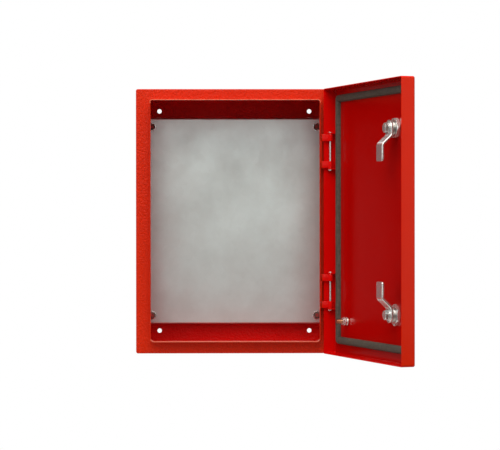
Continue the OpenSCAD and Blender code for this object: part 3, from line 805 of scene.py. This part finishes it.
# Flat back, let in between the sides, with a fine groove round it and four wall holes whose edges
# are broken.
def makeRearPanel(look):
    low, high = nodeBox("rear_panel")
    groove, edge, chamfer = look["backGroove"], look["backEdge"], look["holeChamfer"]
    cornerRadius = look["cornerRadius"] - look["sheet"]
    steps = [(groove + edge, low[1]), (groove, low[1] + edge), (groove, high[1] - edge),
             (groove + edge, high[1])]
    rings = []
    for inset, y in steps:
        ring = roundRect(low[[0, 2]], high[[0, 2]], cornerRadius, cornerRadius, inset)
        rings.append(np.column_stack([ring[:, 0], np.full(len(ring), y), ring[:, 1]]))
    piece = makePiece("rearPanel", [ringSolid(rings)], "enclosure",
                      ["rear_panel"], texturedRed)
    holes = next(m for m in frame["record"]["mounts"] if m["name"] == "wall_holes")["dims"]
    radius = holes["hole_r_mm"]
    wide = radius + chamfer
    profile = [(wide + 1, low[1] - 1), (wide, low[1]), (radius, low[1] + chamfer),
               (radius, high[1] - chamfer), (wide, high[1]), (wide + 1, high[1] + 1)]
    cutters = []
    for sx in (-0.5, 0.5):
        for sz in (-0.5, 0.5):
            spot = np.array([sx * holes["spacing_x_mm"], 0.0, sz * holes["spacing_y_mm"]])
            cutters.append(moved(turnedSolid(profile, 40),
                                 lambda p: np.stack([p[:, 0], p[:, 2], p[:, 1]], -1) + spot))
    cutAway(piece, cutters)


# Gasket, cover plate and six slotted screws over the cut-out in the floor.
def makeCableEntry(look):
    width = gasketHigh[:2] - gasketLow[:2]
    middle = (gasketHigh[:2] + gasketLow[:2]) / 2
    outline = roundRect(-width / 2, width / 2, look["gasketRadius"], look["gasketRadius"])
    inner = roundRect(-width / 2 + look["lap"], width / 2 - look["lap"], 1.0, 1.0)

    def atFloor(points):
        return np.stack([points[:, 0] + middle[0], points[:, 1] + middle[1], points[:, 2]], -1)

    # the gasket's section is a flat frame whose inner and outer edges bulge a little
    bulge = np.linspace(0, math.pi, 5)
    thickness = gasketHigh[2] - gasketLow[2]
    heights = gasketLow[2] + thickness * (1 - np.cos(bulge)) / 2
    rings = [standing(insetOutline(outline, 0.3 - 0.3 * math.sin(a)), h) for a, h in zip(bulge, heights)]
    rings += [standing(insetOutline(inner, 0.3 * math.sin(a)), h)
              for a, h in zip(bulge[::-1], heights[::-1])]
    makePiece("glandGasket", [moved(ringSolid(rings, tube=True), atFloor)], "enclosure",
              ["gland_gasket"], blackRubber)
    cover = moved(plateSolid(outline, glandLow[2], glandHigh[2], 0.3), atFloor)
    makePiece("glandPlate", [cover], "enclosure", ["gland_plate"], texturedRed)
    top = glandHigh[2]
    head, rise, slotHalf = look["headRadius"], look["headHeight"], look["slot"] / 2
    dome = np.linspace(0, math.pi / 2, 7)
    profile = [(0.02, bodyLow[2]), (look["screwRadius"] - 0.4, bodyLow[2]),
               (look["screwRadius"], bodyLow[2] + 0.4), (look["screwRadius"], top), (head - 0.3, top),
               (head, top + 0.3)]
    profile += [(head * (0.25 + 0.75 * math.cos(a)), top + rise * (0.35 + 0.65 * math.sin(a)))
                for a in dome]
    profile += [(0.02, top + rise)]
    shells = []
    for index, (x, y) in enumerate(screwSpots):
        turn = math.radians(25 + 57 * index)
        c, s = math.cos(turn), math.sin(turn)

        def atScrew(points, x=x, y=y, c=c, s=s):
            return np.stack([x + c * points[:, 0] - s * points[:, 1],
                             y + s * points[:, 0] + c * points[:, 1], points[:, 2]], -1)

        points, faces = turnedSolid(profile, 40)
        # the slot is pressed into the head: points near the middle line go down
        radius = np.hypot(points[:, 0], points[:, 1])
        inSlot = (np.abs(points[:, 1]) < slotHalf + 0.3) & (points[:, 2] > top + 1.2) & (radius > 0.5)
        points[inSlot, 2] -= 0.9
        shells.append(moved((points, faces), atScrew))
    makePiece("glandScrews", shells, "enclosure", ["gland_screws"], zincPlate, sharp=40)


makeRearPanel(enclosure)
makeCableEntry(cableEntry)
print("stage: enclosure")


mountingPlate = {"sheet": 2.0, "bend": 3.0, "washerRadius": 6.3, "washerBore": 3.2,
                 "nutAcross": 10.0, "shoulderRadius": 5.0, "studRadius": 3.0, "pitch": 1.0,
                 "washer": 1.4, "nut": 5.0}
plateLow, plateHigh = nodeBox("mounting_plate")
plateY = plateLow[1]
studLow, studHigh = nodeBox("plate_studs")
studRadius = mountingPlate["shoulderRadius"]
fixings = [(x, z) for x in (studLow[0] + studRadius, studHigh[0] - studRadius)
           for z in (studLow[2] + studRadius, studHigh[2] - studRadius)]


# A sheet folded back at the top and the bottom: the side profile runs round the bends, and is
# carried across the width, drawn in a little at both ends.
def makeMountingPlate(look):
    sheet, bend = look["sheet"], look["bend"]
    top, bottom, back = plateHigh[2], plateLow[2], plateHigh[1]
    corners = [(back, bottom), (plateY, bottom), (plateY, top), (back, top),
               (back, top - sheet), (plateY + sheet, top - sheet),
               (plateY + sheet, bottom + sheet), (back, bottom + sheet)]
    radii = [0.4, bend, bend, 0.4, 0.4, bend - sheet, bend - sheet, 0.4]
    profile = filletPath(corners, radii, 6)
    rings = []
    for x, inset in [(plateLow[0], 0.3), (plateLow[0] + 0.3, 0.0), (plateLow[0] + 0.6, 0.0),
                     (plateHigh[0] - 0.6, 0.0), (plateHigh[0] - 0.3, 0.0), (plateHigh[0], 0.3)]:
        outline = insetOutline(profile, inset)
        rings.append(np.column_stack([np.full(len(outline), x), outline]))
    makePiece("mountingPlate", [ringSolid(rings)], "enclosure",
              ["mounting_plate"], galvanisedSteel)


# Points given as (across, up, distance in front of the wall), at x, z.
def onPlate(points, x, z):
    return np.stack([x + points[:, 0], -points[:, 2], z + points[:, 1]], -1)


# Four welded studs with a shoulder behind the plate, and a washer and a nut in front of it.
def makePlateFixings(look):
    studs, washers, nuts = [], [], []
    wall, tip, front = -studHigh[1], -studLow[1], -plateY
    shoulder, radius = front - look["sheet"], look["shoulderRadius"]
    nutNear = front + look["washer"]
    post = turnedSolid([(radius + 1.2, wall), (radius + 0.3, wall + 0.6), (radius, wall + 1.6),
                        (radius, shoulder - 0.3), (radius - 0.3, shoulder)])
    rod = threadedRod(look["studRadius"], look["pitch"], -tip, -shoulder + 1.0, -tip + 0.9,
                      -front - look["washer"] - look["nut"] + 0.5)
    rod = moved(rod, lambda p: p * [1, 1, -1])
    washer = washerSolid(look["washerBore"], look["washerRadius"], front, front + look["washer"])
    for index, (x, z) in enumerate(fixings):
        def here(points, x=x, z=z):
            return onPlate(points, x, z)

        nut = hexSolid(look["nutAcross"], nutNear, nutNear + look["nut"], 0.55,
                       look["studRadius"] + 0.02, turn=17 * index + 30)
        studs += [moved(post, here), moved(rod, here)]
        washers.append(moved(washer, here))
        nuts.append(moved(nut, here))
    makePiece("plateStuds", studs, "enclosure", ["plate_studs"], studRed, sharp=50)
    makePiece("plateWashers", washers, "enclosure", ["plate_washers"], zincPlate)
    makePiece("plateNuts", nuts, "enclosure", ["plate_nuts"], darkZinc)


makeMountingPlate(mountingPlate)
makePlateFixings(mountingPlate)
print("stage: mounting plate")


hinge = {"height": 51.0, "knuckleHeight": 10.4, "knuckleRadius": 4.3, "pinRadius": 1.5,
         "bearingGap": 0.05, "earGap": 0.3, "ear": 2.0, "bracket": 2.2, "armNear": 10.4,
         "armFar": 12.8, "bracketNear": 2.0, "leaf": 1.8, "leafHalfWidth": 5.0,
         "headRadius": 3.0, "headHeight": 1.2, "clipRadius": 3.5, "weld": 1.3}
lipX = openingHigh[0] + enclosure["sheet"]
pinX = hingePin[0]
pinDepth = flangeY - hingePin[1]
earOut = hinge["height"] / 2 + hinge["earGap"] + hinge["ear"]


# Points along an arc about a middle, from one angle to another in degrees.
def arcPoints(middle, radius, start, end, steps=20):
    angle = np.radians(np.linspace(start, end, steps + 1))
    return np.asarray(middle) + radius * np.stack([np.cos(angle), np.sin(angle)], -1)


# Points given as (x, depth, height) on the closed door or the enclosure, at a height.
def upright(points, z):
    return np.stack([points[:, 0], flangeY - points[:, 1], points[:, 2] + z], -1)


# Bracket on the lip: a flat strip, two arms that end in knuckles, and the welds.
def makeBracket(look, name, node, z):
    half, r = look["height"] / 2, look["knuckleRadius"]
    low = math.degrees(math.asin((look["armNear"] - pinDepth) / r))
    high = math.degrees(math.asin((look["armFar"] - pinDepth) / r))
    knuckle = arcPoints([pinX, pinDepth], r, 180 - low, 540 - high, 28)
    outline = np.concatenate([[[lipX + 0.2, look["armFar"]], [lipX + 0.2, look["armNear"]]], knuckle])
    shells = []
    strip = filletPath([(lipX + 0.02, look["bracketNear"]), (lipX + look["bracket"], look["bracketNear"]),
                        (lipX + look["bracket"], look["armFar"]), (lipX + 0.02, look["armFar"])],
                       [0.1, 0.8, 0.8, 0.1], 4)
    shells.append(plateSolid(strip, -half, half, 0.6, 3))
    for start in (-half, half - look["knuckleHeight"]):
        shells.append(plateSolid(outline, start, start + look["knuckleHeight"], 0.35, 3))
        for side in (start + 0.2, start + look["knuckleHeight"] - 0.2):
            shells.append(weldBead([lipX + look["bracket"], look["armNear"], side],
                                   [lipX + look["bracket"] + 0.3, look["armFar"] - 1.0, side], 0.55))
    for edge in (-half + 0.2, half - 0.2):
        shells.append(weldBead([lipX + 0.6, look["bracketNear"] + 2.0, edge],
                               [lipX + 0.6, look["armFar"] - 2.5, edge], look["weld"] * 0.55))
    shells = [moved(shell, lambda p: upright(p, z)) for shell in shells]
    makePiece(name, shells, "enclosure", [node], smoothRed, sharp=40)


# Hinge pin with a cone head and a chamfered tail, and the spring clip that holds it.
def makePin(look, label):
    low, high = nodeBox(label + "_hinge_pin")
    r = look["pinRadius"]
    head, rise = look["headRadius"], look["headHeight"]
    profile = [(0.05, low[2]), (r - 0.5, low[2]), (r, low[2] + 0.6), (r, high[2] - rise - 0.15),
               (head - 0.25, high[2] - rise), (head, high[2] - rise + 0.25)]
    dome = np.linspace(0.15, math.pi / 2, 6)
    profile += [(head * math.cos(a), high[2] - rise + 0.25 + (rise - 0.25) * math.sin(a))
                for a in dome[:-1]]
    profile += [(0.05, high[2])]
    shape = turnedSolid(profile, 40)
    makePiece(label + "HingePin", [moved(shape, lambda p: p + [pinX, hingePin[1], 0.0])],
              "enclosure", [label + "_hinge_pin"], zincPlate)
    clipLow, clipHigh = nodeBox(label + "_hinge_clip")
    middle, half = (clipLow[2] + clipHigh[2]) / 2, (clipHigh[2] - clipLow[2]) / 2
    # the clip's section, a flat rounded bar, turns most of the way round the pin
    bar = filletPath([(r + 0.02, -half), (look["clipRadius"], -half), (look["clipRadius"], half),
                      (r + 0.02, half)], [0.15] * 4, 3, guard=0.05)
    angle = np.radians(np.linspace(-62, 242, 40))
    rings = [np.column_stack([pinX + bar[:, 0] * math.cos(a), hingePin[1] + bar[:, 0] * math.sin(a),
                              middle + bar[:, 1]]) for a in angle]
    makePiece(label + "HingeClip", [ringSolid(rings)], "enclosure",
              [label + "_hinge_clip"], zincPlate)


# Ear of the leaf: straight sides and a round end, with the pin's bore. Each ray from the pin gives
# one point on the outline and one on the bore.
def boredEar(look, low, high):
    r, reach = look["knuckleRadius"], panelIn - look["leaf"] / 2 - pinDepth
    angle = np.linspace(0, 2 * math.pi, 64, endpoint=False)
    corner = math.atan2(reach, r)
    angle = np.sort(np.concatenate([angle, [corner, math.pi - corner]]))
    up = np.sin(angle)
    sideways = r / np.maximum(np.abs(np.cos(angle)), 1e-6)
    upwards = reach / np.maximum(up, 1e-6)
    outer = np.where(up > 0, np.minimum(sideways, upwards), r)
    bore = look["pinRadius"] + look["bearingGap"]
    inner, broken = bore + 0 * outer, bore + 0.2 + 0 * outer
    rings = []
    for distance, height in [(outer - 0.3, low), (outer, low + 0.3), (outer, high - 0.3),
                             (outer - 0.3, high), (broken, high), (inner, high - 0.2),
                             (inner, low + 0.2), (broken, low)]:
        rings.append(np.column_stack([pinX + distance * np.cos(angle), pinDepth + distance * np.sin(angle),
                                      np.full(len(angle), height)]))
    return ringSolid(rings, tube=True)


# Leaf on the door: a strip welded to the panel, with an ear outside each knuckle.
def makeLeaf(look, name, node, z):
    half, face = look["leafHalfWidth"], panelIn - look["leaf"]
    strip = filletPath([(pinX - half, face), (pinX + half, face), (pinX + half, panelIn),
                        (pinX - half, panelIn)], [0.6, 0.6, 0.05, 0.05], 4, guard=0.04)
    shells = [plateSolid(strip, -earOut, earOut, 0.5, 3),
              boredEar(look, -earOut, -earOut + look["ear"]), boredEar(look, earOut - look["ear"], earOut)]
    for side in (-1, 1):
        x, y = pinX + side * half, panelIn - 0.5
        for start, end in ((-earOut + 3, -earOut + 18), (earOut - 18, earOut - 3)):
            shells.append(weldBead([x, y, start], [x, y, end], look["weld"] * 0.6))
    shells = [moved(shell, lambda p: openDoor(upright(p, z))) for shell in shells]
    makePiece(name, shells, "door", [node], smoothRed, sharp=40)


for label in ("upper", "lower"):
    pinBox = nodeBox(label + "_hinge_bracket")
    hingeZ = (pinBox[0][2] + pinBox[1][2]) / 2
    makeBracket(hinge, label + "HingeBracket", label + "_hinge_bracket", hingeZ)
    makePin(hinge, label)
    makeLeaf(hinge, label + "HingeLeaf", label + "_hinge_leaf", hingeZ)
print("stage: hinges")


door = {"sheet": 1.5, "rimGap": 2.6, "bend": 2.6, "cornerRadius": 3.0, "rimEdge": 0.5}
seal = {"width": 11.0, "thickness": 6.0, "radius": 8.0, "towardsHinge": 4.8, "upwards": 1.9,
        "wave": 0.12, "joint": 0.5, "jointPlace": 8.0, "jointWidth": 2.2, "squareness": 0.62}


# Pressed pan: the section runs from the middle of the outer face round the bend, along the rim,
# round its edge and back inside. Each point of the section is an inset and a depth.
def makeDoorShell(look):
    sheet, bend, edge, guard = look["sheet"], look["bend"], look["rimEdge"], 0.3
    quarter = np.linspace(0, math.pi / 2, 8)
    section = [(bend + guard, panelOut)]
    section += [(bend * (1 - math.sin(a)), panelOut - bend * (1 - math.cos(a))) for a in quarter]
    section += [(0.0, panelOut - bend - guard), (0.0, look["rimGap"] + edge + guard)]
    section += [(sheet / 2 * (1 - math.cos(a)), look["rimGap"] + edge * (1 - math.sin(a)))
                for a in np.linspace(0, math.pi, 9)]
    inner = bend - sheet
    section += [(sheet, look["rimGap"] + edge + guard), (sheet, panelIn - inner - guard)]
    section += [(sheet + inner * (1 - math.cos(a)), panelIn - inner * (1 - math.sin(a))) for a in quarter]
    section += [(bend + guard, panelIn)]
    rings = []
    for inset, depth in section:
        ring = roundRect(outerLow, outerHigh, look["cornerRadius"], look["cornerRadius"], inset)
        rings.append(onDoor(np.column_stack([ring, np.full(len(ring), depth)])))
    makePiece("doorShell", [ringSolid(rings)], "door", ["door_shell"], smoothRed)


# Foamed-in-place seal: half a superellipse carried round a rounded rectangle. The height wanders a
# little along the run, and swells where the run starts and ends.
def makeDoorSeal(look):
    t = np.linspace(0, math.pi, 15)
    half, power = look["width"] / 2, look["squareness"]
    across = half * (1 - np.sign(np.cos(t)) * np.abs(np.cos(t)) ** power)
    rise = look["thickness"] * np.abs(np.sin(t)) ** power
    low = openingLow + [-enclosure["sheet"] / 2 - half, look["upwards"] - half]
    high = openingHigh + [look["towardsHinge"] + half, look["upwards"] + half]
    rings = []
    for inset, height in zip(across, rise):
        ring = roundRect(low, high, look["radius"], look["radius"], inset, cornerSteps=10, sideSteps=70)
        run = np.linspace(0, 2 * math.pi, len(ring), endpoint=False)
        wander = look["wave"] * (np.sin(11 * run) + np.sin(29 * run + 1.3) + 0.6 * np.sin(67 * run + 0.4))
        away = (ring[:, 0] - look["jointPlace"]) / look["jointWidth"]
        meet = np.exp(-away ** 2) * (ring[:, 1] < 0) * look["joint"]
        grown = height * (1 + (wander - 2.6 * look["wave"] + meet) / look["thickness"])
        rings.append(onDoor(np.column_stack([ring, panelIn - grown])))
    makePiece("doorSeal", [ringSolid(rings, tube=True)], "door", ["door_seal"], foamSeal)


makeDoorShell(door)
makeDoorSeal(seal)
print("stage: door")


lock = {"barrelRadius": 10.0, "barrelNear": 12.9, "pitch": 1.5, "rosetteRadius": 14.0,
        "rosetteNear": 24.3, "rosetteFar": 27.5, "recessRadius": 9.0, "recess": 2.0,
        "spindleRadius": 7.0, "nutAcross": 27.0, "nut": 5.0, "headRadius": 8.6, "head": 1.0,
        "key": 4.6, "keyHeight": 0.8, "shank": 9.8, "camRoot": 9.0, "camSheet": 3.5,
        "camWidth": 22.0, "camReach": 47.0, "camEdge": 1.3, "camTip": -5.0, "camTipRadius": 3.0,
        "camBend": 5.5, "bendStart": 10.3, "bendEnd": 23.3, "washerRadius": 8.5, "washer": 1.6,
        "boltRadius": 4.0, "boltAcross": 13.0, "boltHead": 5.3}


# Cranked cam: a rounded bar section carried along a bent centre line. Its half width follows a
# circle round the spindle and rounds off at the tip.
def makeCamShape(look):
    half, sheet, reach = look["camWidth"] / 2, look["camSheet"], look["camReach"]
    level, dropped = look["camRoot"] + sheet / 2, look["camTip"] + sheet / 2
    line = filletPath([(-half, level), (look["bendStart"], level), (look["bendEnd"], dropped),
                       (reach, dropped)], [0, look["camBend"], look["camBend"], 0], 10, closed=False)
    # more stations where the root and the tip are round
    root = level + 0 * np.linspace(0, 1, 14)
    rootRun = half * -np.cos(np.linspace(0, math.pi / 2, 14))
    tipRadius = look["camTipRadius"]
    tipRun = reach - tipRadius * (1 - np.sin(np.linspace(0, math.pi / 2, 8)))
    line = np.concatenate([np.column_stack([rootRun, root]), line[1:-1],
                           np.column_stack([tipRun, dropped + 0 * tipRun])])
    along = line[:, 0]
    width = np.where(along < 0, np.sqrt(np.maximum(half ** 2 - along ** 2, 0)), half)
    over = np.clip(along - (reach - tipRadius), 0, tipRadius)
    width = np.maximum(width - (tipRadius - np.sqrt(np.maximum(tipRadius ** 2 - over ** 2, 0))), 0.4)
    step = np.gradient(line, axis=0)
    step /= np.linalg.norm(step, axis=1, keepdims=True)
    normal = np.stack([-step[:, 1], step[:, 0]], -1)
    edge = look["camEdge"]
    rings = []
    for (run, depth), w, n in zip(line, width, normal):
        e = min(edge, w * 0.8)
        section = filletPath([(-w, -sheet / 2), (w, -sheet / 2), (w, sheet / 2), (-w, sheet / 2)],
                             [e] * 4, 4, guard=0.02)
        rings.append(np.column_stack([section[:, 0], -(run + n[0] * section[:, 1]),
                                      depth + n[1] * section[:, 1]]))
    return ringSolid(rings)


# What stays with the door: the housing, its seal and its nut.
def makeLockFixed(look, label, x, z, nutTurn):
    def here(points):
        return onDoor(points, x, z)

    face = look["rosetteFar"]
    # the last turns of the barrel's thread stand proud between the nut and the cam
    start, end = look["barrelNear"] + 0.6, panelIn - look["nut"] - 0.2
    height = np.linspace(start, end, 25)
    angle = np.arange(64) * 2 * math.pi / 64
    phase = (height[:, None] / look["pitch"] - angle[None] / (2 * math.pi)) % 1
    fade = np.clip(np.minimum(height - start, end - height) / 0.7, 0, 1)[:, None]
    r = look["barrelRadius"] - 0.25 + 0.25 * np.cos(2 * math.pi * phase) * fade
    outer = np.stack([r * np.cos(angle), r * np.sin(angle), height[:, None] + 0 * angle], -1)
    core = look["barrelRadius"] - 1.0
    inner = np.stack([core * np.cos(angle), core * np.sin(angle), 0 * angle], -1)
    rings = np.concatenate([outer, [inner + [0, 0, end]], [inner + [0, 0, start]]])
    near, floorDepth = look["rosetteNear"], face - look["recess"]
    bore, barrel = look["spindleRadius"] + 0.05, look["barrelRadius"] - 0.6
    housing = filletPath([(bore, look["barrelNear"]), (barrel, look["barrelNear"]), (barrel, near),
                          (look["rosetteRadius"], near), (look["rosetteRadius"], face),
                          (look["recessRadius"], face), (look["recessRadius"], floorDepth),
                          (bore, floorDepth)],
                         [0.1, 0.5, 0, 0.2, 1.6, 0.4, 0.2, 0.1], 5, guard=0.05)
    shells = [moved(turnedSolid(housing, 64, bored=True), here),
              moved(ringSolid(rings, tube=True), here)]
    makePiece(label + "LockHousing", shells, "door", [label + "_lock_housing"], zincCast)
    gasket = washerSolid(look["barrelRadius"], look["rosetteRadius"], panelOut, near, 0.35, 4, 0.03, 64)
    makePiece(label + "LockSeal", [moved(gasket, here)], "door",
              [label + "_lock_seal"], blackRubber)
    nut = hexSolid(look["nutAcross"], panelIn - look["nut"], panelIn, 1.1, look["barrelRadius"] - 0.3,
                   turn=nutTurn, segments=144)
    makePiece(label + "LockNut", [moved(nut, here)], "door", [label + "_lock_nut"],
              zincPlate)


# What turns with the key: spindle, cam, washer and bolt. side is 1 where the arm points down at
# rest and -1 where it points up.
def makeLockTurning(look, label, x, z, side):
    body = label + "_cam_set"

    def here(points):
        return onDoor(points * [side, side, 1.0], x, z)

    seat = look["rosetteFar"] - look["recess"] + 0.1
    camTop = look["camRoot"] + look["camSheet"]
    front, radius = seat + look["head"], look["spindleRadius"]
    profile = filletPath([(0.05, camTop), (radius, camTop), (radius, seat), (look["headRadius"], seat),
                          (look["headRadius"], front), (0.05, front)],
                         [0, 0.3, 0, 0.2, 0.3, 0], 4, closed=False, guard=0.05)
    square = np.array([(-1, -1), (1, -1), (1, 1), (-1, 1)]) * look["shank"] / 2
    shank = filletPath(square, [1.0] * 4, 4)
    boss = filletPath(circleOutline(look["key"], 3, 90), [0.7] * 3, 5, guard=0.05)
    spindle = [turnedSolid(profile, 56),
               plateSolid(shank, look["camRoot"] + 0.05, camTop + 0.4, 0.05, 2),
               plateSolid(boss, front - 0.2, front + look["keyHeight"], 0.15, 2)]
    makePiece(label + "Spindle", [moved(s, here) for s in spindle], body,
              [label + "_spindle"], zincCast)
    makePiece(label + "Cam", [moved(makeCamShape(look), here)], body,
              [label + "_cam"], zincPlate)
    washerLow = look["camRoot"] - look["washer"]
    washer = washerSolid(look["boltRadius"], look["washerRadius"], washerLow, look["camRoot"], 0.35, 4,
                         segments=56)
    makePiece(label + "CamWasher", [moved(washer, here)], body,
              [label + "_cam_washer"], zincPlate)
    headLow, headHigh = washerLow - look["boltHead"], washerLow
    head = hexSolid(look["boltAcross"], headLow + 0.5, headHigh, 1.0, 2.2, turn=45, segments=120)
    crown = turnedSolid([(0.05, headLow), (3.0, headLow), (4.6, headLow + 0.12), (5.8, headLow + 0.55),
                         (5.9, headLow + 1.2), (0.05, headLow + 1.6)], 56)
    makePiece(label + "CamBolt", [moved(head, here), moved(crown, here)], body,
              [label + "_cam_bolt"], zincPlate, sharp=28)


for label, side, nutTurn in (("upper", 1.0, 0.0), ("lower", -1.0, 30.0)):
    axis = jointNamed(label + "_lock_turn")
    spot = closedPlace(np.array(axis["pos_m"]) / mm)
    makeLockFixed(lock, label, spot[0], spot[2], nutTurn)
    makeLockTurning(lock, label, spot[0], spot[2], side)
print("stage: locks")


earth = {"radius": 3.0, "pitch": 1.0, "baseRadius": 5.2, "base": 1.2, "length": 17.6,
         "washerRadius": 6.3, "washerBore": 3.1, "washer": 1.0, "nutAcross": 10.0, "nut": 3.0}


# Copper-plated stud on the door, with two washers and two nuts.
def makeEarthStud(look):
    low, high = nodeBox("earth_stud")
    spot = closedPlace((low + high) / 2)
    x, z = spot[0], spot[2]

    def here(points):
        return onDoor(points, x, z)

    tip, seat = panelIn - look["length"], panelIn - look["base"]
    rod = threadedRod(look["radius"], look["pitch"], tip, panelIn, tip + 0.9, seat - 0.5)
    wide, face = look["baseRadius"], seat + 0.02
    foot = turnedSolid([(0.05, panelIn), (wide, panelIn), (wide, seat + 0.4), (wide - 0.4, face),
                        (0.05, face)])
    makePiece("earthStud", [moved(rod, here), moved(foot, here)], "door",
              ["earth_stud"], copperPlate, sharp=50)
    washers, nuts = [], []
    for step in (0, 1):
        top = seat - step * (look["washer"] + look["nut"])
        under = top - look["washer"]
        washer = washerSolid(look["washerBore"], look["washerRadius"], under, top)
        washers.append(moved(washer, here))
        nut = hexSolid(look["nutAcross"], under - look["nut"], under, 0.5, look["radius"] + 0.02,
                       turn=11 + 19 * step)
        nuts.append(moved(nut, here))
    makePiece("earthWashers", washers, "door", ["earth_washers"], zincPlate)
    makePiece("earthNuts", nuts, "door", ["earth_nuts"], zincPlate)


makeEarthStud(earth)
print("stage: earth stud;", madeCount, "pieces made")


camera = {"place": (-0.01897, -3.26362, 0.00703), "lens": 145.79, "sensor": 36.0,
          "yaw": -0.7744, "pitch": -0.2382, "roll": 0.0423, "nearest": 0.05, "farthest": 50.0}


# Camera: stands at its place, looks along +Y, and is turned by yaw, pitch and roll in degrees.
def makeCamera(look):
    data = bpy.data.cameras.new("camera")
    data.sensor_width, data.lens = look["sensor"], look["lens"]
    data.clip_start, data.clip_end = look["nearest"], look["farthest"]
    eye = bpy.data.objects.new("camera", data)
    bpy.context.scene.collection.objects.link(eye)
    turn = (Matrix.Rotation(math.radians(look["yaw"]), 4, "Z")
            @ Matrix.Rotation(math.radians(look["pitch"]), 4, "X")
            @ Matrix.Rotation(math.radians(look["roll"]), 4, "Y")
            @ Matrix.Rotation(math.pi / 2, 4, "X"))
    eye.matrix_world = Matrix.Translation(look["place"]) @ turn
    bpy.context.scene.camera = eye


warmWhite = (1.0, 0.98, 0.95)
lightAim = Vector((0.05, -0.2, 0.0))
lights = [
    {"name": "topLight", "place": (0.1, -1.15, 1.70), "size": (2.0, 1.2), "power": 38.0,
     "tint": (1.0, 0.96, 0.90), "roll": 0.0},
    {"name": "frontLight", "place": (-0.5, -2.4, 1.5), "size": (2.0, 1.2), "power": 26.0,
     "tint": (1.0, 0.95, 0.86), "roll": 0.0},
    {"name": "roomLight", "place": (0.3, -4.2, 0.6), "size": (2.8, 1.6), "power": 15.0,
     "tint": (1.0, 0.98, 0.94), "roll": 0.0},
    {"name": "glowLight", "place": (-0.08, -4.0, 0.12), "size": (1.5, 0.45), "power": 1.3,
     "tint": (0.97, 0.99, 1.0), "roll": 40.0},
    {"name": "leftLight", "place": (-1.9, -0.5, 0.3), "size": (1.0, 1.6), "power": 8.0,
     "tint": warmWhite, "roll": 0.0},
    {"name": "rightLight", "place": (1.7, -1.6, 0.4), "size": (1.0, 1.4), "power": 7.0,
     "tint": warmWhite, "roll": 0.0},
    {"name": "backLight", "place": (0.0, 1.8, 1.0), "size": (1.6, 1.2), "power": 8.0,
     "tint": warmWhite, "roll": 0.0},
]
world = {"seen": (1.0, 1.0, 1.0, 1), "light": (1.0, 0.98, 0.95, 1), "strength": 0.15}
floor = {"radius": 0.62, "drop": 0.26, "edge": 0.004, "thickness": 0.012,
         "colour": (0.80, 0.80, 0.79, 1), "speck": (0.84, 0.84, 0.83, 1)}


# Area lights, each turned to face the aim and rolled about its own axis.
def makeLights(spots, aim):
    for spot in spots:
        data = bpy.data.lights.new(spot["name"], "AREA")
        data.shape, data.size, data.size_y = "RECTANGLE", spot["size"][0], spot["size"][1]
        data.energy, data.color = spot["power"], spot["tint"]
        lamp = bpy.data.objects.new(spot["name"], data)
        lamp.location = spot["place"]
        lamp.rotation_mode = "QUATERNION"
        roll = Quaternion((0.0, 0.0, 1.0), math.radians(spot["roll"]))
        lamp.rotation_quaternion = (aim - Vector(spot["place"])).to_track_quat("-Z", "Y") @ roll
        bpy.context.scene.collection.objects.link(lamp)


# White where the camera looks past the object, softer where it lights the object.
def makeWorld(look):
    sky = bpy.data.worlds.new("studio")
    sky.use_nodes = True
    tree = sky.node_tree
    tree.nodes.clear()
    lit = addNode(tree, "Background", {"Color": look["light"], "Strength": look["strength"]})
    seen = addNode(tree, "Background", {"Color": look["seen"], "Strength": 1.0})
    path = addNode(tree, "LightPath")
    mix = addNode(tree, "MixShader", {0: path.outputs["Is Camera Ray"], 1: lit.outputs[0],
                                      2: seen.outputs[0]})
    output = addNode(tree, "OutputWorld")
    tree.links.new(mix.outputs[0], output.inputs[0])
    bpy.context.scene.world = sky


# Pale round floor under the object.
def makeFloor(look):
    angle = np.arange(96) * 2 * math.pi / 96
    z = bodyLow[2] * mm - look["drop"]
    middle = (bodyLow[1] + bodyHigh[1]) / 2 * mm
    ring = np.stack([np.cos(angle), np.sin(angle), 0 * angle], -1)
    radius, edge, under, centre = look["radius"], look["edge"], look["thickness"], 0.01
    rings = [ring * r + [0.0, middle, z - d] for r, d in
             ((centre, 0.0), (radius - edge, 0.0), (radius, edge), (radius, under), (centre, under))]
    points, faces = ringSolid(rings)
    mesh = bpy.data.meshes.new("studioFloor")
    mesh.from_pydata(points.tolist(), [], faces)
    material, tree, shader, place = newMaterial("floorPaint", {"Roughness": 0.75})
    speck = addNode(tree, "TexNoise", {"Vector": place, "Scale": 40.0, "Detail": 3.0})
    tree.links.new(mixColours(tree, speck.outputs["Fac"], look["colour"], look["speck"]),
                   shader.inputs["Base Color"])
    mesh.materials.append(material)
    disc = bpy.data.objects.new("studioFloor", mesh)
    bpy.context.scene.collection.objects.link(disc)


makeCamera(camera)
makeLights(lights, lightAim)
makeWorld(world)
makeFloor(floor)
bpy.context.scene.view_settings.view_transform = "Standard"
print("stage: camera, light and floor")
